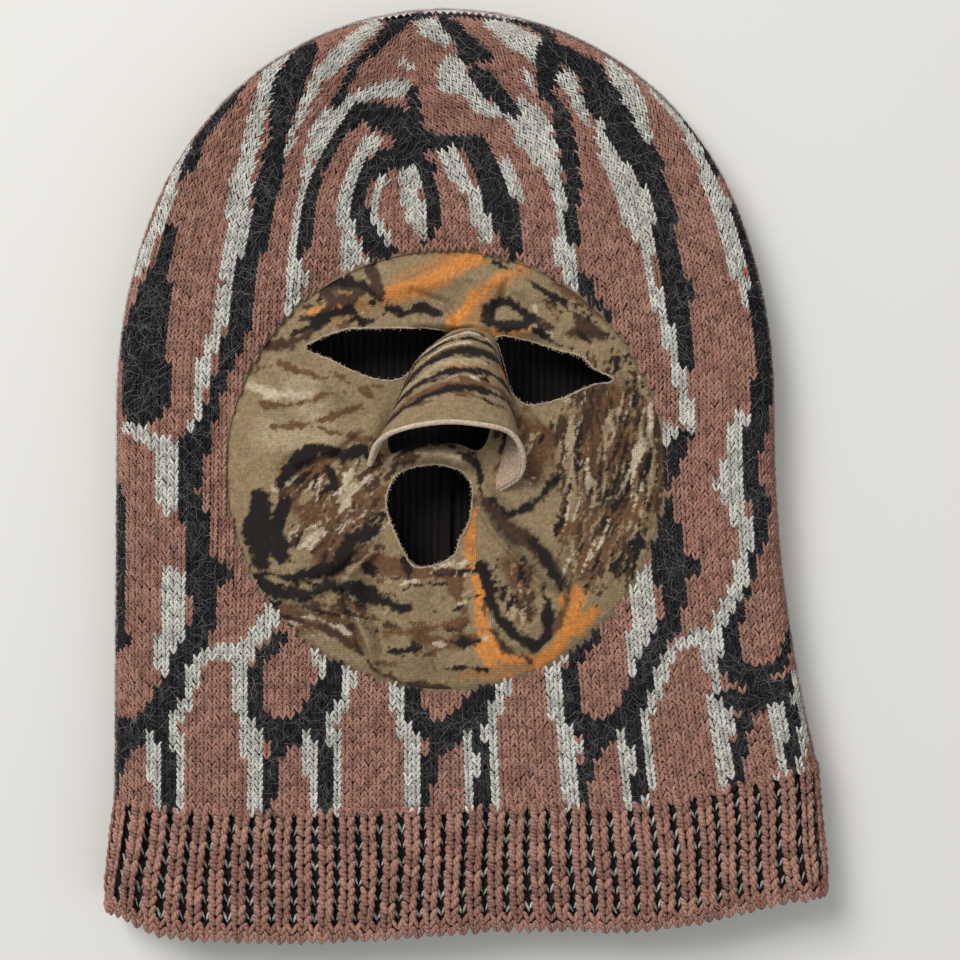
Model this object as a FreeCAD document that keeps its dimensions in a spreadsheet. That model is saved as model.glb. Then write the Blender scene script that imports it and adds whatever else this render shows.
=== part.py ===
import FreeCAD, Part

import math
import os

import Sketcher
from FreeCAD import Placement, Rotation, Vector

# A knit hood with a sewn-in cloth face, lying on its back: +Z comes out of the face, +Y runs to
# the crown and the origin is on the ground under the middle of the whole mask. Millimetres.
SIZES = (
    ("mask_length", 329.0, "crown to lower edge of the neck band"),
    ("body_width", 234.0, "flat width of the hood beside the eyes"),
    ("band_flare", 17.0, "how far the right side spreads down to the neck band"),
    ("neck_flare", 4.0, "how far each side of the neck band spreads"),
    ("mask_thickness", 24.0, "height of the flat hood, both layers and the space between"),
    ("knit_wall", 3.0, "one layer of the jacquard knit"),
    ("rib_extra", 0.2, "how much thicker the ribbed neck band is than the knit"),
    ("rib_height", 43.0, "height of the ribbed neck band"),
    ("crown_height", 141.0, "rise of the crown above the straight sides"),
    ("shoulder_ease", 75.0, "radius of the shoulder arcs beyond half the hood's width"),
    ("face_diameter", 158.0, "round opening of the knit, and the cloth face in it"),
    ("face_drop", 165.0, "crown to the middle of the face"),
    ("face_cloth", 1.2, "thickness of the cloth face"),
    ("left_eye_width", 50.0, "left eye hole, corner to corner"),
    ("left_eye_upper", 6.0, "rise of its upper edge"),
    ("left_eye_lower", 12.0, "drop of its lower edge"),
    ("left_eye_across", 30.7, "its middle, left of the face's middle"),
    ("left_eye_up", 42.0, "its corners, above the face's middle"),
    ("right_eye_width", 44.0, "right eye hole, corner to corner"),
    ("right_eye_upper", 10.0, "rise of its upper edge"),
    ("right_eye_lower", 12.0, "drop of its lower edge"),
    ("right_eye_across", 39.8, "its middle, right of the face's middle"),
    ("right_eye_up", 34.0, "its corners, above the face's middle"),
    ("mouth_width", 31.0, "mouth hole"),
    ("mouth_height", 34.5, "mouth hole"),
    ("mouth_across", 6.2, "its middle, left of the face's middle"),
    ("mouth_down", 17.5, "its middle, below the face's middle"),
    ("nose_bridge_width", 18.0, "nose cover at the bridge"),
    ("nose_bridge_height", 4.0, "nose cover at the bridge"),
    ("nose_width", 51.5, "nose cover at its lower rim"),
    ("nose_height", 20.0, "nose cover at its lower rim"),
    ("nose_length", 54.0, "bridge to the tips of the lower rim"),
    ("nose_cloth", 1.2, "thickness of the nose cover"),
    ("nose_across", 8.8, "bridge, right of the face's middle"),
    ("nose_up", 45.7, "bridge, above the face's middle"),
    ("nose_lean", 10.0, "how far the rim lies left of the bridge"),
    ("rim_setback", 20.0, "how far the rim's crest lies behind its tips"),
    ("nose_clearance", 0.3, "gap between the nose cover and what is sewn under it"),
    ("nostril_margin", 5.0, "cloth left between the nose seams and the nose opening"),
    ("nostril_drop", 9.0, "lower edge of the nose opening, above the face's middle"),
    ("seam_height", 0.8, "height of the nose stitching"),
    ("seam_width", 2.0, "width of the nose stitching"),
    ("bridge_gap", 1.1, "gap between the bridge stitching and the nose cover"),
    ("overlock_width", 5.5, "width of the round face seam"),
    ("overlock_height", 2.5, "height of the round face seam"),
    ("overlock_lap", 1.5, "how far the face seam laps under the cloth face"),
    ("bead_width", 3.0, "width of the hood's inner seams"),
    ("bead_height", 1.6, "height of the hood's inner seams"),
    ("tack_depth", 3.2, "depth of the crown tack"),
    ("tack_width", 8.0, "width of the crown tack"),
    ("crown_seam_length", 50.0, "length of the front and back crown seams"),
    ("crown_seam_margin", 14.0, "crown to the upper end of those two seams"),
    ("crown_seam_across", 11.5, "front crown seam, left of the hood's middle line"),
    ("side_seam_drop", 75.0, "how far the side crown seams run down from the crown"),
    ("dart_length", 28.0, "left chin dart"),
    ("dart_margin", 3.0, "its lower end to the inside of the face seam"),
    ("dart_swing", 20.3, "its lower end, in degrees left of straight down from the face's middle"),
    ("dart_lean", 17.0, "its lean in degrees"),
    ("fold_length", 33.0, "right chin dart"),
    ("fold_across", 14.5, "its upper end, right of the face's middle"),
    ("fold_down", 11.0, "its upper end, below the face's middle"),
    ("fold_lean", 37.0, "its lean in degrees"),
)

OVERRUN = 4.0           # how far a cutting shape runs past what it cuts
NODES = (
    "hood_knit", "neck_rib", "crown_seam_front", "crown_seam_back", "crown_seam_left",
    "crown_seam_right", "crown_tack", "back_seam", "face_panel", "face_seam", "nose_cover",
    "nose_bridge_stitch", "nose_seam_left", "nose_seam_right", "chin_dart_left",
    "chin_dart_right",
)

# Places that several pieces share, as expressions on the sheet.
HALF_SEAM = "(Sizes.body_width + Sizes.band_flare) / 2"
HALF_NECK = "((Sizes.body_width + Sizes.band_flare) / 2 + Sizes.neck_flare)"
SEAM_Y = "(Sizes.mask_length / 2 - Sizes.rib_height)"        # measured down from the origin
FACE_X = "(Sizes.band_flare / 2)"                            # measured left of the origin
FACE_Y = "(Sizes.mask_length / 2 - Sizes.face_drop)"
LEAF_Z = "(Sizes.mask_thickness - Sizes.knit_wall)"
SIDE_ROUND = "(Sizes.mask_thickness / 2 - Sizes.bead_width / 2)"
RIB_WALL = "(Sizes.knit_wall + Sizes.rib_extra)"
DART_END = "(Sizes.face_diameter / 2 - Sizes.overlock_lap - Sizes.dart_margin)"


def make_sheet(doc):
    """Write the driving sizes, one row each, and return the sheet."""
    sheet = doc.addObject("Spreadsheet::Sheet", "Sizes")
    for row, (alias, value, meaning) in enumerate(SIZES, start=1):
        sheet.set(f"A{row}", meaning)
        sheet.set(f"B{row}", str(value))
        sheet.setAlias(f"B{row}", alias)
    doc.recompute()
    return sheet


class Maker:
    """Builds sub-parts in one document from the sizes on its sheet."""

    def __init__(self):
        self.doc = FreeCAD.newDocument("face_mask")
        self.sheet = make_sheet(self.doc)

    def size(self, formula):
        """The value of an expression on the sheet, in millimetres or degrees."""
        self.sheet.set("D1", "=" + formula.replace("Sizes.", ""))
        self.doc.recompute([self.sheet])
        return float(self.sheet.get("D1"))

    def body(self, name):
        """An empty PartDesign body."""
        body = self.doc.addObject("PartDesign::Body", name)
        body.Label = name
        return body

    def sketch(self, body, name, role="XY_Plane", offset=None):
        """A sketch on one of the body's origin planes, moved along that plane's normal."""
        sketch = body.newObject("Sketcher::SketchObject", name)
        plane = [item for item in body.Origin.OriginFeatures if item.Role == role][0]
        sketch.AttachmentSupport = [(plane, "")]
        sketch.MapMode = "FlatFace"
        if offset is not None:
            sketch.setExpression("AttachmentOffset.Base.z", offset)
        return sketch

    def bind(self, sketch, name, formula, kind, *places):
        """A driving dimension of a sketch, bound to the sheet."""
        index = sketch.addConstraint(Sketcher.Constraint(kind, *places, self.size(formula)))
        sketch.renameConstraint(index, name)
        sketch.setExpression("Constraints." + name, formula)

    def pin(self, sketch, name, axis, formula, geometry, place):
        """Hold one point of a sketch at a signed distance from its origin along X or Y."""
        if self.size(formula) < 0:
            self.bind(sketch, name, f"-({formula})", "Distance" + axis, geometry, place, -1, 1)
        else:
            self.bind(sketch, name, formula, "Distance" + axis, -1, 1, geometry, place)

    def pad(self, body, name, sketch, length):
        """A straight pad of a sketch."""
        pad = body.newObject("PartDesign::Pad", name)
        pad.Profile = sketch
        pad.setExpression("Length", length)
        self.doc.recompute()
        return pad

    def pocket_through(self, body, name, sketch):
        """A cut through everything, both ways from the sketch."""
        before = body.Shape.Volume
        pocket = body.newObject("PartDesign::Pocket", name)
        pocket.Profile = sketch
        pocket.Type = "ThroughAll"
        pocket.Midplane = True
        self.doc.recompute()
        if body.Shape.Volume >= before:
            raise RuntimeError(name + " cut nothing")
        sketch.Visibility = False
        return pocket

    def box(self, name, length, width, height):
        """A plain box, its three sides bound to the sheet."""
        box = self.doc.addObject("Part::Box", name)
        box.Label = name
        box.setExpression("Length", length)
        box.setExpression("Width", width)
        box.setExpression("Height", height)
        return box

    def place(self, item, across, along, up, turn=0.0):
        """Put an object's own corner at a point worked out from the sheet, turned about +Z."""
        for axis, formula in (("x", across), ("y", along), ("z", up)):
            item.setExpression("Placement.Base." + axis, formula)
        item.Placement.Rotation = Rotation(Vector(0, 0, 1), turn)
        self.doc.recompute()

    def boolean(self, kind, name, base, tool):
        """A Cut or Common of two objects, under the name of its node."""
        result = self.doc.addObject("Part::" + kind, name)
        result.Label = name
        result.Base = base
        result.Tool = tool
        self.doc.recompute()
        return result


def hood_outline(maker, sketch, inset, overrun):
    """Half-round crown on a straight left side and a flaring right side.

    inset is how far the outline stands inside the hood's own outer edge.
    """
    left = f"{HALF_SEAM} - {inset}"
    right = f"(Sizes.body_width - Sizes.band_flare) / 2 - {inset}"
    top = f"Sizes.mask_length / 2 - {inset}"
    spring = "Sizes.mask_length / 2 - Sizes.crown_height"
    bottom = f"{SEAM_Y} + {overrun}"
    shoulder = f"Sizes.body_width / 2 + Sizes.shoulder_ease - {inset}"

    x_left, x_right = -maker.size(left), maker.size(right)
    y_top, y_spring, y_bottom = maker.size(top), maker.size(spring), -maker.size(bottom)
    x_flare = maker.size(left)
    x_mid = (x_left + x_right) / 2
    big = maker.size(shoulder)
    ease = big - (x_right - x_left) / 2
    rise = y_top - y_spring
    small = (big ** 2 - rise ** 2 - ease ** 2) / (2 * (big - rise))
    lean = math.atan2(rise - small, ease)
    run, drop = x_flare - x_right, y_spring - y_bottom
    sweep = (run ** 2 + drop ** 2) / (2 * run)

    def arc(x, y, radius, start, end):
        return Part.ArcOfCircle(Part.Circle(Vector(x, y, 0), Vector(0, 0, 1), radius), start, end)

    side, shoulder_l, top_l, top_r, shoulder_r, flare, base = sketch.addGeometry([
        Part.LineSegment(Vector(x_left, y_bottom, 0), Vector(x_left, y_spring, 0)),
        arc(x_left + big, y_spring, big, math.pi - lean, math.pi),
        arc(x_mid, y_top - small, small, math.pi / 2, math.pi - lean),
        arc(x_mid, y_top - small, small, lean, math.pi / 2),
        arc(x_right - big, y_spring, big, 0, lean),
        arc(x_right + sweep, y_spring, sweep, math.pi, math.pi + math.asin(drop / sweep)),
        Part.LineSegment(Vector(x_flare, y_bottom, 0), Vector(x_left, y_bottom, 0)),
    ], False)
    start, end, centre = 1, 2, 3
    sketch.addConstraint([
        Sketcher.Constraint("Tangent", side, end, shoulder_l, end),
        Sketcher.Constraint("Tangent", shoulder_l, start, top_l, end),
        Sketcher.Constraint("Coincident", top_l, start, top_r, end),
        Sketcher.Constraint("Coincident", top_l, centre, top_r, centre),
        Sketcher.Constraint("Tangent", top_r, start, shoulder_r, end),
        Sketcher.Constraint("Tangent", shoulder_r, start, flare, start),
        Sketcher.Constraint("Coincident", flare, end, base, start),
        Sketcher.Constraint("Coincident", base, end, side, start),
        Sketcher.Constraint("Vertical", side),
        Sketcher.Constraint("Horizontal", base),
        Sketcher.Constraint("Vertical", top_l, centre, top_l, start),
        Sketcher.Constraint("Equal", shoulder_l, shoulder_r),
        Sketcher.Constraint("Horizontal", shoulder_r, centre, shoulder_r, start),
        Sketcher.Constraint("Horizontal", side, end, shoulder_r, start),
    ])
    maker.bind(sketch, "left", left, "DistanceX", side, start, -1, 1)
    maker.bind(sketch, "right", right, "DistanceX", -1, 1, shoulder_r, start)
    maker.bind(sketch, "flare", left, "DistanceX", -1, 1, flare, end)
    maker.bind(sketch, "bottom", bottom, "DistanceY", side, start, -1, 1)
    maker.bind(sketch, "spring", spring, "DistanceY", -1, 1, shoulder_r, start)
    maker.bind(sketch, "top", top, "DistanceY", -1, 1, top_l, start)
    maker.bind(sketch, "shoulder", shoulder, "Radius", shoulder_l)


def hood_form(maker, name, inset, overrun):
    """A closed pillow of the hood's outline, its long edges rounded, set in by inset."""
    body = maker.body(name)
    sketch = maker.sketch(body, name + "_outline", offset=inset)
    hood_outline(maker, sketch, inset, overrun)
    pad = maker.pad(body, name + "_pad", sketch, f"Sizes.mask_thickness - 2 * {inset}")
    y_bottom = -maker.size(f"{SEAM_Y} + {overrun}")
    levels = (maker.size(inset), maker.size(f"Sizes.mask_thickness - {inset}"))

    def is_long_edge(edge):
        """True for an edge in the top or bottom face that isn't at the neck end."""
        flat = any(all(abs(v.Z - z) < 1e-4 for v in edge.Vertexes) for z in levels)
        return flat and not all(abs(v.Y - y_bottom) < 1e-4 for v in edge.Vertexes)

    names = [f"Edge{i}" for i, edge in enumerate(pad.Shape.Edges, start=1) if is_long_edge(edge)]
    fillet = body.newObject("PartDesign::Fillet", name + "_rounding")
    fillet.Base = (pad, names)
    fillet.setExpression("Radius", f"{SIDE_ROUND} - {inset}")
    maker.doc.recompute()
    return body


def hood_knit(maker):
    """The knit tube: a hollow pillow, open at the neck, with the round opening in its front."""
    outer = hood_form(maker, "hood_outer", "0 * Sizes.knit_wall", "0")
    inner = hood_form(maker, "hood_inner", "Sizes.knit_wall", str(OVERRUN))
    opening = maker.doc.addObject("Part::Cylinder", "face_opening")
    opening.setExpression("Radius", "Sizes.face_diameter / 2")
    opening.setExpression("Height", "Sizes.knit_wall * 2")
    maker.place(opening, f"-{FACE_X}", FACE_Y, f"{LEAF_Z} - Sizes.knit_wall / 2")
    hollow = maker.doc.addObject("Part::MultiFuse", "hood_hollow")
    hollow.Shapes = [inner, opening]
    maker.boolean("Cut", "hood_knit", outer, hollow)


def stadium(maker, sketch, half_width, height):
    """A flat tube's section, standing on the sketch's X axis: two lines and two half circles."""
    reach, rise = maker.size(half_width), maker.size(height)
    half = rise / 2
    flat = reach - half
    up = Vector(0, 0, 1)
    low, right, high, left = sketch.addGeometry([
        Part.LineSegment(Vector(-flat, 0, 0), Vector(flat, 0, 0)),
        Part.ArcOfCircle(Part.Circle(Vector(flat, half, 0), up, half), -math.pi / 2, math.pi / 2),
        Part.LineSegment(Vector(flat, rise, 0), Vector(-flat, rise, 0)),
        Part.ArcOfCircle(Part.Circle(Vector(-flat, half, 0), up, half), math.pi / 2,
                         3 * math.pi / 2),
    ], False)
    start, end, centre = 1, 2, 3
    sketch.addConstraint([
        Sketcher.Constraint("Tangent", low, end, right, start),
        Sketcher.Constraint("Tangent", right, end, high, start),
        Sketcher.Constraint("Tangent", high, end, left, start),
        Sketcher.Constraint("Tangent", left, end, low, start),
        Sketcher.Constraint("Horizontal", low),
        Sketcher.Constraint("Symmetric", left, centre, right, centre, -2),
    ])
    maker.bind(sketch, "reach", f"({half_width}) - ({height}) / 2", "DistanceX", -1, 1, low, end)
    maker.bind(sketch, "radius", f"({height}) / 2", "Radius", right)
    return low, high


def neck_rib(maker):
    """The ribbed band: a flat tube that spreads a little towards its open lower edge."""
    body = maker.body("neck_rib")
    for wall, kind in (("0 * Sizes.knit_wall", "Additive"), (RIB_WALL, "Subtractive")):
        sections = []
        for end, reach, down in (("seam", HALF_SEAM, SEAM_Y),
                                 ("edge", HALF_NECK, "Sizes.mask_length / 2")):
            sketch = maker.sketch(body, f"{kind}_{end}", "XZ_Plane", down)
            low, _ = stadium(maker, sketch, f"({reach}) - {wall}",
                             f"Sizes.mask_thickness - 2 * {wall}")
            maker.bind(sketch, "level", wall, "DistanceY", -1, 1, low, 1)
            sections.append(sketch)
        loft = body.newObject(f"PartDesign::{kind}Loft", kind + "_tube")
        loft.Profile = sections[0]
        loft.Sections = sections[1:]
        loft.Ruled = True
        maker.doc.recompute()


def inner_band(maker, name, depth):
    """A band of the crown seams' height, standing on the inside of the hood's side walls."""
    forms = []
    for part, inset in (("wide", "Sizes.knit_wall"), ("core", f"(Sizes.knit_wall + {depth})")):
        body = maker.body(f"{name}_{part}")
        level = "(Sizes.mask_thickness - Sizes.bead_width) / 2"
        sketch = maker.sketch(body, f"{name}_{part}_outline", offset=level)
        hood_outline(maker, sketch, inset, "0")
        maker.pad(body, f"{name}_{part}_pad", sketch, "Sizes.bead_width")
        forms.append(body)
    return maker.boolean("Cut", name, *forms)


def crown_seams(maker):
    """Four seams that close the crown, meeting at a gathering tack, and the seam down the back."""
    band = inner_band(maker, "side_seam_band", "Sizes.bead_height")
    reach = "Sizes.body_width"
    crown = "Sizes.mask_length / 2"
    for name, across in (("crown_seam_left", f"-{FACE_X} - Sizes.tack_width / 2 - {reach}"),
                         ("crown_seam_right", f"-{FACE_X} + Sizes.tack_width / 2")):
        side = maker.box(name + "_side", reach, "Sizes.side_seam_drop", "Sizes.mask_thickness")
        maker.place(side, across, f"{crown} - Sizes.side_seam_drop", "0")
        maker.boolean("Common", name, band, side)

    tack_band = inner_band(maker, "tack_band", "Sizes.tack_depth")
    middle = maker.box("tack_side", "Sizes.tack_width", "Sizes.side_seam_drop",
                       "Sizes.mask_thickness")
    maker.place(middle, f"-{FACE_X} - Sizes.tack_width / 2",
                f"{crown} - Sizes.side_seam_drop", "0")
    maker.boolean("Common", "crown_tack", tack_band, middle)

    low_end = f"{crown} - Sizes.crown_seam_margin - Sizes.crown_seam_length"
    front = maker.box("crown_seam_front", "Sizes.bead_width", "Sizes.crown_seam_length",
                      "Sizes.bead_height")
    maker.place(front, f"-{FACE_X} - Sizes.crown_seam_across - Sizes.bead_width / 2", low_end,
                f"{LEAF_Z} - Sizes.bead_height")
    back = maker.box("crown_seam_back", "Sizes.bead_width", "Sizes.crown_seam_length",
                     "Sizes.bead_height")
    maker.place(back, f"-{FACE_X} - Sizes.bead_width / 2", low_end, "Sizes.knit_wall")
    down = maker.box("back_seam", "Sizes.bead_width",
                     "Sizes.mask_length - Sizes.crown_seam_margin - Sizes.crown_seam_length"
                     " - Sizes.rib_height", "Sizes.bead_height")
    maker.place(down, f"-{FACE_X} - Sizes.bead_width / 2", f"-{SEAM_Y}", "Sizes.knit_wall")


def lens(maker, sketch, name, across, up, width, upper, lower):
    """An eye hole: two arcs between two corners, placed from the face's middle."""
    x, y, span = maker.size(across), maker.size(up), maker.size(width) / 2
    arcs = []
    for rise, side in ((maker.size(upper), 1), (-maker.size(lower), -1)):
        ends = [Vector(x + side * span, y, 0), Vector(x - side * span, y, 0)]
        arcs.append(Part.Arc(ends[0], Vector(x, y + rise, 0), ends[1]))
    top, low = sketch.addGeometry(arcs, False)
    start, end = 1, 2
    sketch.addConstraint([
        Sketcher.Constraint("Coincident", top, end, low, start),
        Sketcher.Constraint("Coincident", low, end, top, start),
        Sketcher.Constraint("Horizontal", top, start, top, end),
    ])
    maker.bind(sketch, name + "_width", width, "DistanceX", top, end, top, start)
    for part, index, rise in (("upper", top, upper), ("lower", low, lower)):
        maker.bind(sketch, f"{name}_{part}", f"(({width}) ^ 2 / 4 + ({rise}) ^ 2) / (2 * {rise})",
                   "Radius", index)
    maker.pin(sketch, name + "_across", "X", f"({across}) - ({width}) / 2", top, end)
    maker.pin(sketch, name + "_up", "Y", up, top, end)


def mouth_hole(maker, sketch):
    """An upright oval: two half circles joined by short straight sides."""
    x, y = -maker.size("Sizes.mouth_across"), -maker.size("Sizes.mouth_down")
    radius = maker.size("Sizes.mouth_width / 2")
    half = maker.size("(Sizes.mouth_height - Sizes.mouth_width) / 2")
    up = Vector(0, 0, 1)
    high, left, low, right = sketch.addGeometry([
        Part.ArcOfCircle(Part.Circle(Vector(x, y + half, 0), up, radius), 0, math.pi),
        Part.LineSegment(Vector(x - radius, y + half, 0), Vector(x - radius, y - half, 0)),
        Part.ArcOfCircle(Part.Circle(Vector(x, y - half, 0), up, radius), math.pi, 2 * math.pi),
        Part.LineSegment(Vector(x + radius, y - half, 0), Vector(x + radius, y + half, 0)),
    ], False)
    start, end, centre = 1, 2, 3
    sketch.addConstraint([
        Sketcher.Constraint("Tangent", high, end, left, start),
        Sketcher.Constraint("Tangent", left, end, low, start),
        Sketcher.Constraint("Tangent", low, end, right, start),
        Sketcher.Constraint("Tangent", right, end, high, start),
        Sketcher.Constraint("Vertical", left),
        Sketcher.Constraint("Equal", high, low),
    ])
    maker.bind(sketch, "mouth_radius", "Sizes.mouth_width / 2", "Radius", high)
    maker.bind(sketch, "mouth_side", "Sizes.mouth_height - Sizes.mouth_width", "DistanceY",
               low, centre, high, centre)
    maker.pin(sketch, "mouth_across", "X", "-Sizes.mouth_across", high, centre)
    maker.pin(sketch, "mouth_down", "Y",
              "-Sizes.mouth_down + (Sizes.mouth_height - Sizes.mouth_width) / 2", high, centre)


def nose_line(down):
    """Middle and half width of the nose cover's base, a distance down from the bridge."""
    share = f"({down}) / Sizes.nose_length"
    middle = f"(Sizes.nose_across - Sizes.nose_lean * {share})"
    half = f"(Sizes.nose_bridge_width + (Sizes.nose_width - Sizes.nose_bridge_width) * {share}) / 2"
    return middle, half


def nose_opening(maker, sketch):
    """The opening under the nose cover: four corners that follow the cover's sides."""
    corners = []
    for down in ("2 * Sizes.nostril_margin", "(Sizes.nose_up - Sizes.nostril_drop)"):
        middle, half = nose_line(down)
        for side in ("-", "+"):
            corners.append((f"{middle} {side} ({half} - Sizes.nostril_margin)",
                            f"Sizes.nose_up - {down}"))
    order = (0, 1, 3, 2)
    points = [Vector(maker.size(corners[i][0]), maker.size(corners[i][1]), 0) for i in order]
    lines = sketch.addGeometry(
        [Part.LineSegment(points[i], points[(i + 1) % 4]) for i in range(4)], False)
    for i, line in enumerate(lines):
        sketch.addConstraint(Sketcher.Constraint("Coincident", line, 2, lines[(i + 1) % 4], 1))
    for i, line in zip(order, lines):
        maker.pin(sketch, f"corner_{i}_across", "X", corners[i][0], line, 1)
        maker.pin(sketch, f"corner_{i}_up", "Y", corners[i][1], line, 1)


def on_face(sketch):
    """Put a sketch's origin at the middle of the face."""
    sketch.setExpression("AttachmentOffset.Base.x", f"-{FACE_X}")
    sketch.setExpression("AttachmentOffset.Base.y", FACE_Y)


def face_panel(maker):
    """The round cloth face with its eye holes, nose opening and mouth hole."""
    body = maker.body("face_panel")
    disc = maker.sketch(body, "face_disc", offset=LEAF_Z)
    on_face(disc)
    circle = disc.addGeometry(Part.Circle(Vector(0, 0, 0), Vector(0, 0, 1),
                                          maker.size("Sizes.face_diameter / 2")), False)
    disc.addConstraint(Sketcher.Constraint("Coincident", circle, 3, -1, 1))
    maker.bind(disc, "radius", "Sizes.face_diameter / 2", "Radius", circle)
    maker.pad(body, "face_pad", disc, "Sizes.face_cloth")

    holes = maker.sketch(body, "face_holes", offset=LEAF_Z)
    on_face(holes)
    lens(maker, holes, "left_eye", "-Sizes.left_eye_across", "Sizes.left_eye_up",
         "Sizes.left_eye_width", "Sizes.left_eye_upper", "Sizes.left_eye_lower")
    lens(maker, holes, "right_eye", "Sizes.right_eye_across", "Sizes.right_eye_up",
         "Sizes.right_eye_width", "Sizes.right_eye_upper", "Sizes.right_eye_lower")
    mouth_hole(maker, holes)
    nose_opening(maker, holes)
    maker.pocket_through(body, "face_holes_cut", holes)


def face_seam(maker):
    """The overlocked edge inside the hood: a flat ring that the cloth face laps onto."""
    outer = maker.doc.addObject("Part::Cylinder", "face_seam_outer")
    inner = maker.doc.addObject("Part::Cylinder", "face_seam_inner")
    inside = "Sizes.face_diameter / 2 - Sizes.overlock_lap"
    outer.setExpression("Radius", f"{inside} + Sizes.overlock_width")
    inner.setExpression("Radius", inside)
    for ring, height, drop in ((outer, "Sizes.overlock_height", "Sizes.overlock_height"),
                               (inner, "Sizes.overlock_height * 3", "Sizes.overlock_height * 2")):
        ring.setExpression("Height", height)
        maker.place(ring, f"-{FACE_X}", FACE_Y, f"{LEAF_Z} - {drop}")
    maker.boolean("Cut", "face_seam", outer, inner)


NOSE_Z = "(Sizes.mask_thickness - Sizes.knit_wall + Sizes.face_cloth + Sizes.seam_height)"
NOSE_BASE = f"({NOSE_Z} + Sizes.nose_clearance)"


def dome(maker, sketch, middle, half, height, inset):
    """A section of the nose cover: an arch over a straight base, set in by inset."""
    radius = f"((({half}) ^ 2 + ({height}) ^ 2) / (2 * ({height})))"
    centre_z = f"({NOSE_BASE} + ({height}) - {radius})"
    level = NOSE_BASE if inset is None else f"({NOSE_BASE} - {OVERRUN})"
    bend = radius if inset is None else f"({radius} - {inset})"
    x, z = maker.size(middle), maker.size(centre_z)
    bow, base_z = maker.size(bend), maker.size(level)
    dip = math.asin((base_z - z) / bow)
    reach = bow * math.cos(dip)
    arch, base = sketch.addGeometry([
        Part.ArcOfCircle(Part.Circle(Vector(x, z, 0), Vector(0, 0, 1), bow), dip, math.pi - dip),
        Part.LineSegment(Vector(x - reach, base_z, 0), Vector(x + reach, base_z, 0)),
    ], False)
    start, end, centre = 1, 2, 3
    sketch.addConstraint([
        Sketcher.Constraint("Coincident", arch, end, base, start),
        Sketcher.Constraint("Coincident", base, end, arch, start),
        Sketcher.Constraint("Horizontal", base),
    ])
    maker.pin(sketch, "middle", "X", middle, arch, centre)
    maker.pin(sketch, "bow_height", "Y", centre_z, arch, centre)
    maker.bind(sketch, "bend", bend, "Radius", arch)
    maker.pin(sketch, "level", "Y", level, base, start)


def nose_cover(maker):
    """The nose pocket: a cloth arch that widens from the bridge, open below and at its rim."""
    body = maker.body("nose_cover")
    crest = "(Sizes.nose_length - Sizes.rim_setback)"
    stations = (("bridge", "0", "Sizes.nose_bridge_height"),
                ("crest", crest, "Sizes.nose_height"),
                ("tips", "Sizes.nose_length", "Sizes.nose_height"))
    for kind, inset in (("Additive", None), ("Subtractive", "Sizes.nose_cloth")):
        sections = []
        for station, down, height in stations:
            past = {"bridge": "", "crest": "", "tips": f" + {OVERRUN}"}[station]
            offset = f"{down} - {FACE_Y} - Sizes.nose_up" + (past if inset else "")
            sketch = maker.sketch(body, f"{kind}_{station}", "XZ_Plane", offset)
            middle, half = nose_line(down)
            dome(maker, sketch, f"{middle} - {FACE_X}", half, height, inset)
            sections.append(sketch)
        loft = body.newObject(f"PartDesign::{kind}Loft", kind + "_arch")
        loft.Profile = sections[0]
        loft.Sections = sections[1:]
        loft.Ruled = True
        maker.doc.recompute()

    rim = maker.sketch(body, "rim_cut", "YZ_Plane")
    tip = f"({FACE_Y} + Sizes.nose_up - Sizes.nose_length)"
    lift = "1.5"
    corners = (
        (tip, f"{NOSE_BASE} - {OVERRUN}"),
        (f"{tip} + Sizes.rim_setback * {lift}", f"{NOSE_BASE} + Sizes.nose_height * {lift}"),
        (f"{tip} - 2 * {OVERRUN}", f"{NOSE_BASE} + Sizes.nose_height * {lift}"),
        (f"{tip} - 2 * {OVERRUN}", f"{NOSE_BASE} - {OVERRUN}"),
    )
    points = [Vector(maker.size(along), maker.size(up), 0) for along, up in corners]
    lines = rim.addGeometry(
        [Part.LineSegment(points[i], points[(i + 1) % 4]) for i in range(4)], False)
    for i, line in enumerate(lines):
        rim.addConstraint(Sketcher.Constraint("Coincident", line, 2, lines[(i + 1) % 4], 1))
        maker.pin(rim, f"corner_{i}_along", "X", corners[i][0], line, 1)
        maker.pin(rim, f"corner_{i}_up", "Y", corners[i][1], line, 1)
    maker.pocket_through(body, "rim_opening", rim)


def nose_stitching(maker):
    """The stitching that the nose pocket is sewn down with: two sides and the bridge tuck."""
    top = f"{LEAF_Z} + Sizes.face_cloth"
    upper_y = f"({FACE_Y} + Sizes.nose_up)"
    for name, side in (("nose_seam_left", -1), ("nose_seam_right", 1)):
        middle, half = nose_line("0")
        start_x = maker.size(f"{middle} - {FACE_X} + {side} * {half}")
        middle, half = nose_line("Sizes.nose_length")
        end_x = maker.size(f"{middle} - {FACE_X} + {side} * {half}")
        drop = maker.size("Sizes.nose_length")
        seam = maker.box(name, "Sizes.seam_width",
                         f"sqrt(Sizes.nose_length ^ 2 + {end_x - start_x} ^ 2)"
                         " - 2 * Sizes.seam_width", "Sizes.seam_height")
        turn = math.degrees(math.atan2(end_x - start_x, drop))
        middle, half = nose_line("Sizes.nose_length - Sizes.seam_width")
        inner = "" if side < 0 else " - Sizes.seam_width"
        maker.place(seam, f"{middle} - {FACE_X} + {side} * {half}{inner}",
                    f"{upper_y} - Sizes.nose_length + Sizes.seam_width", top, turn)
    bridge = maker.box("nose_bridge_stitch", "Sizes.nose_bridge_width", "Sizes.seam_width",
                       "Sizes.seam_height * 2")
    maker.place(bridge, f"Sizes.nose_across - {FACE_X} - Sizes.nose_bridge_width / 2",
                f"{upper_y} + Sizes.bridge_gap", top)


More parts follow.
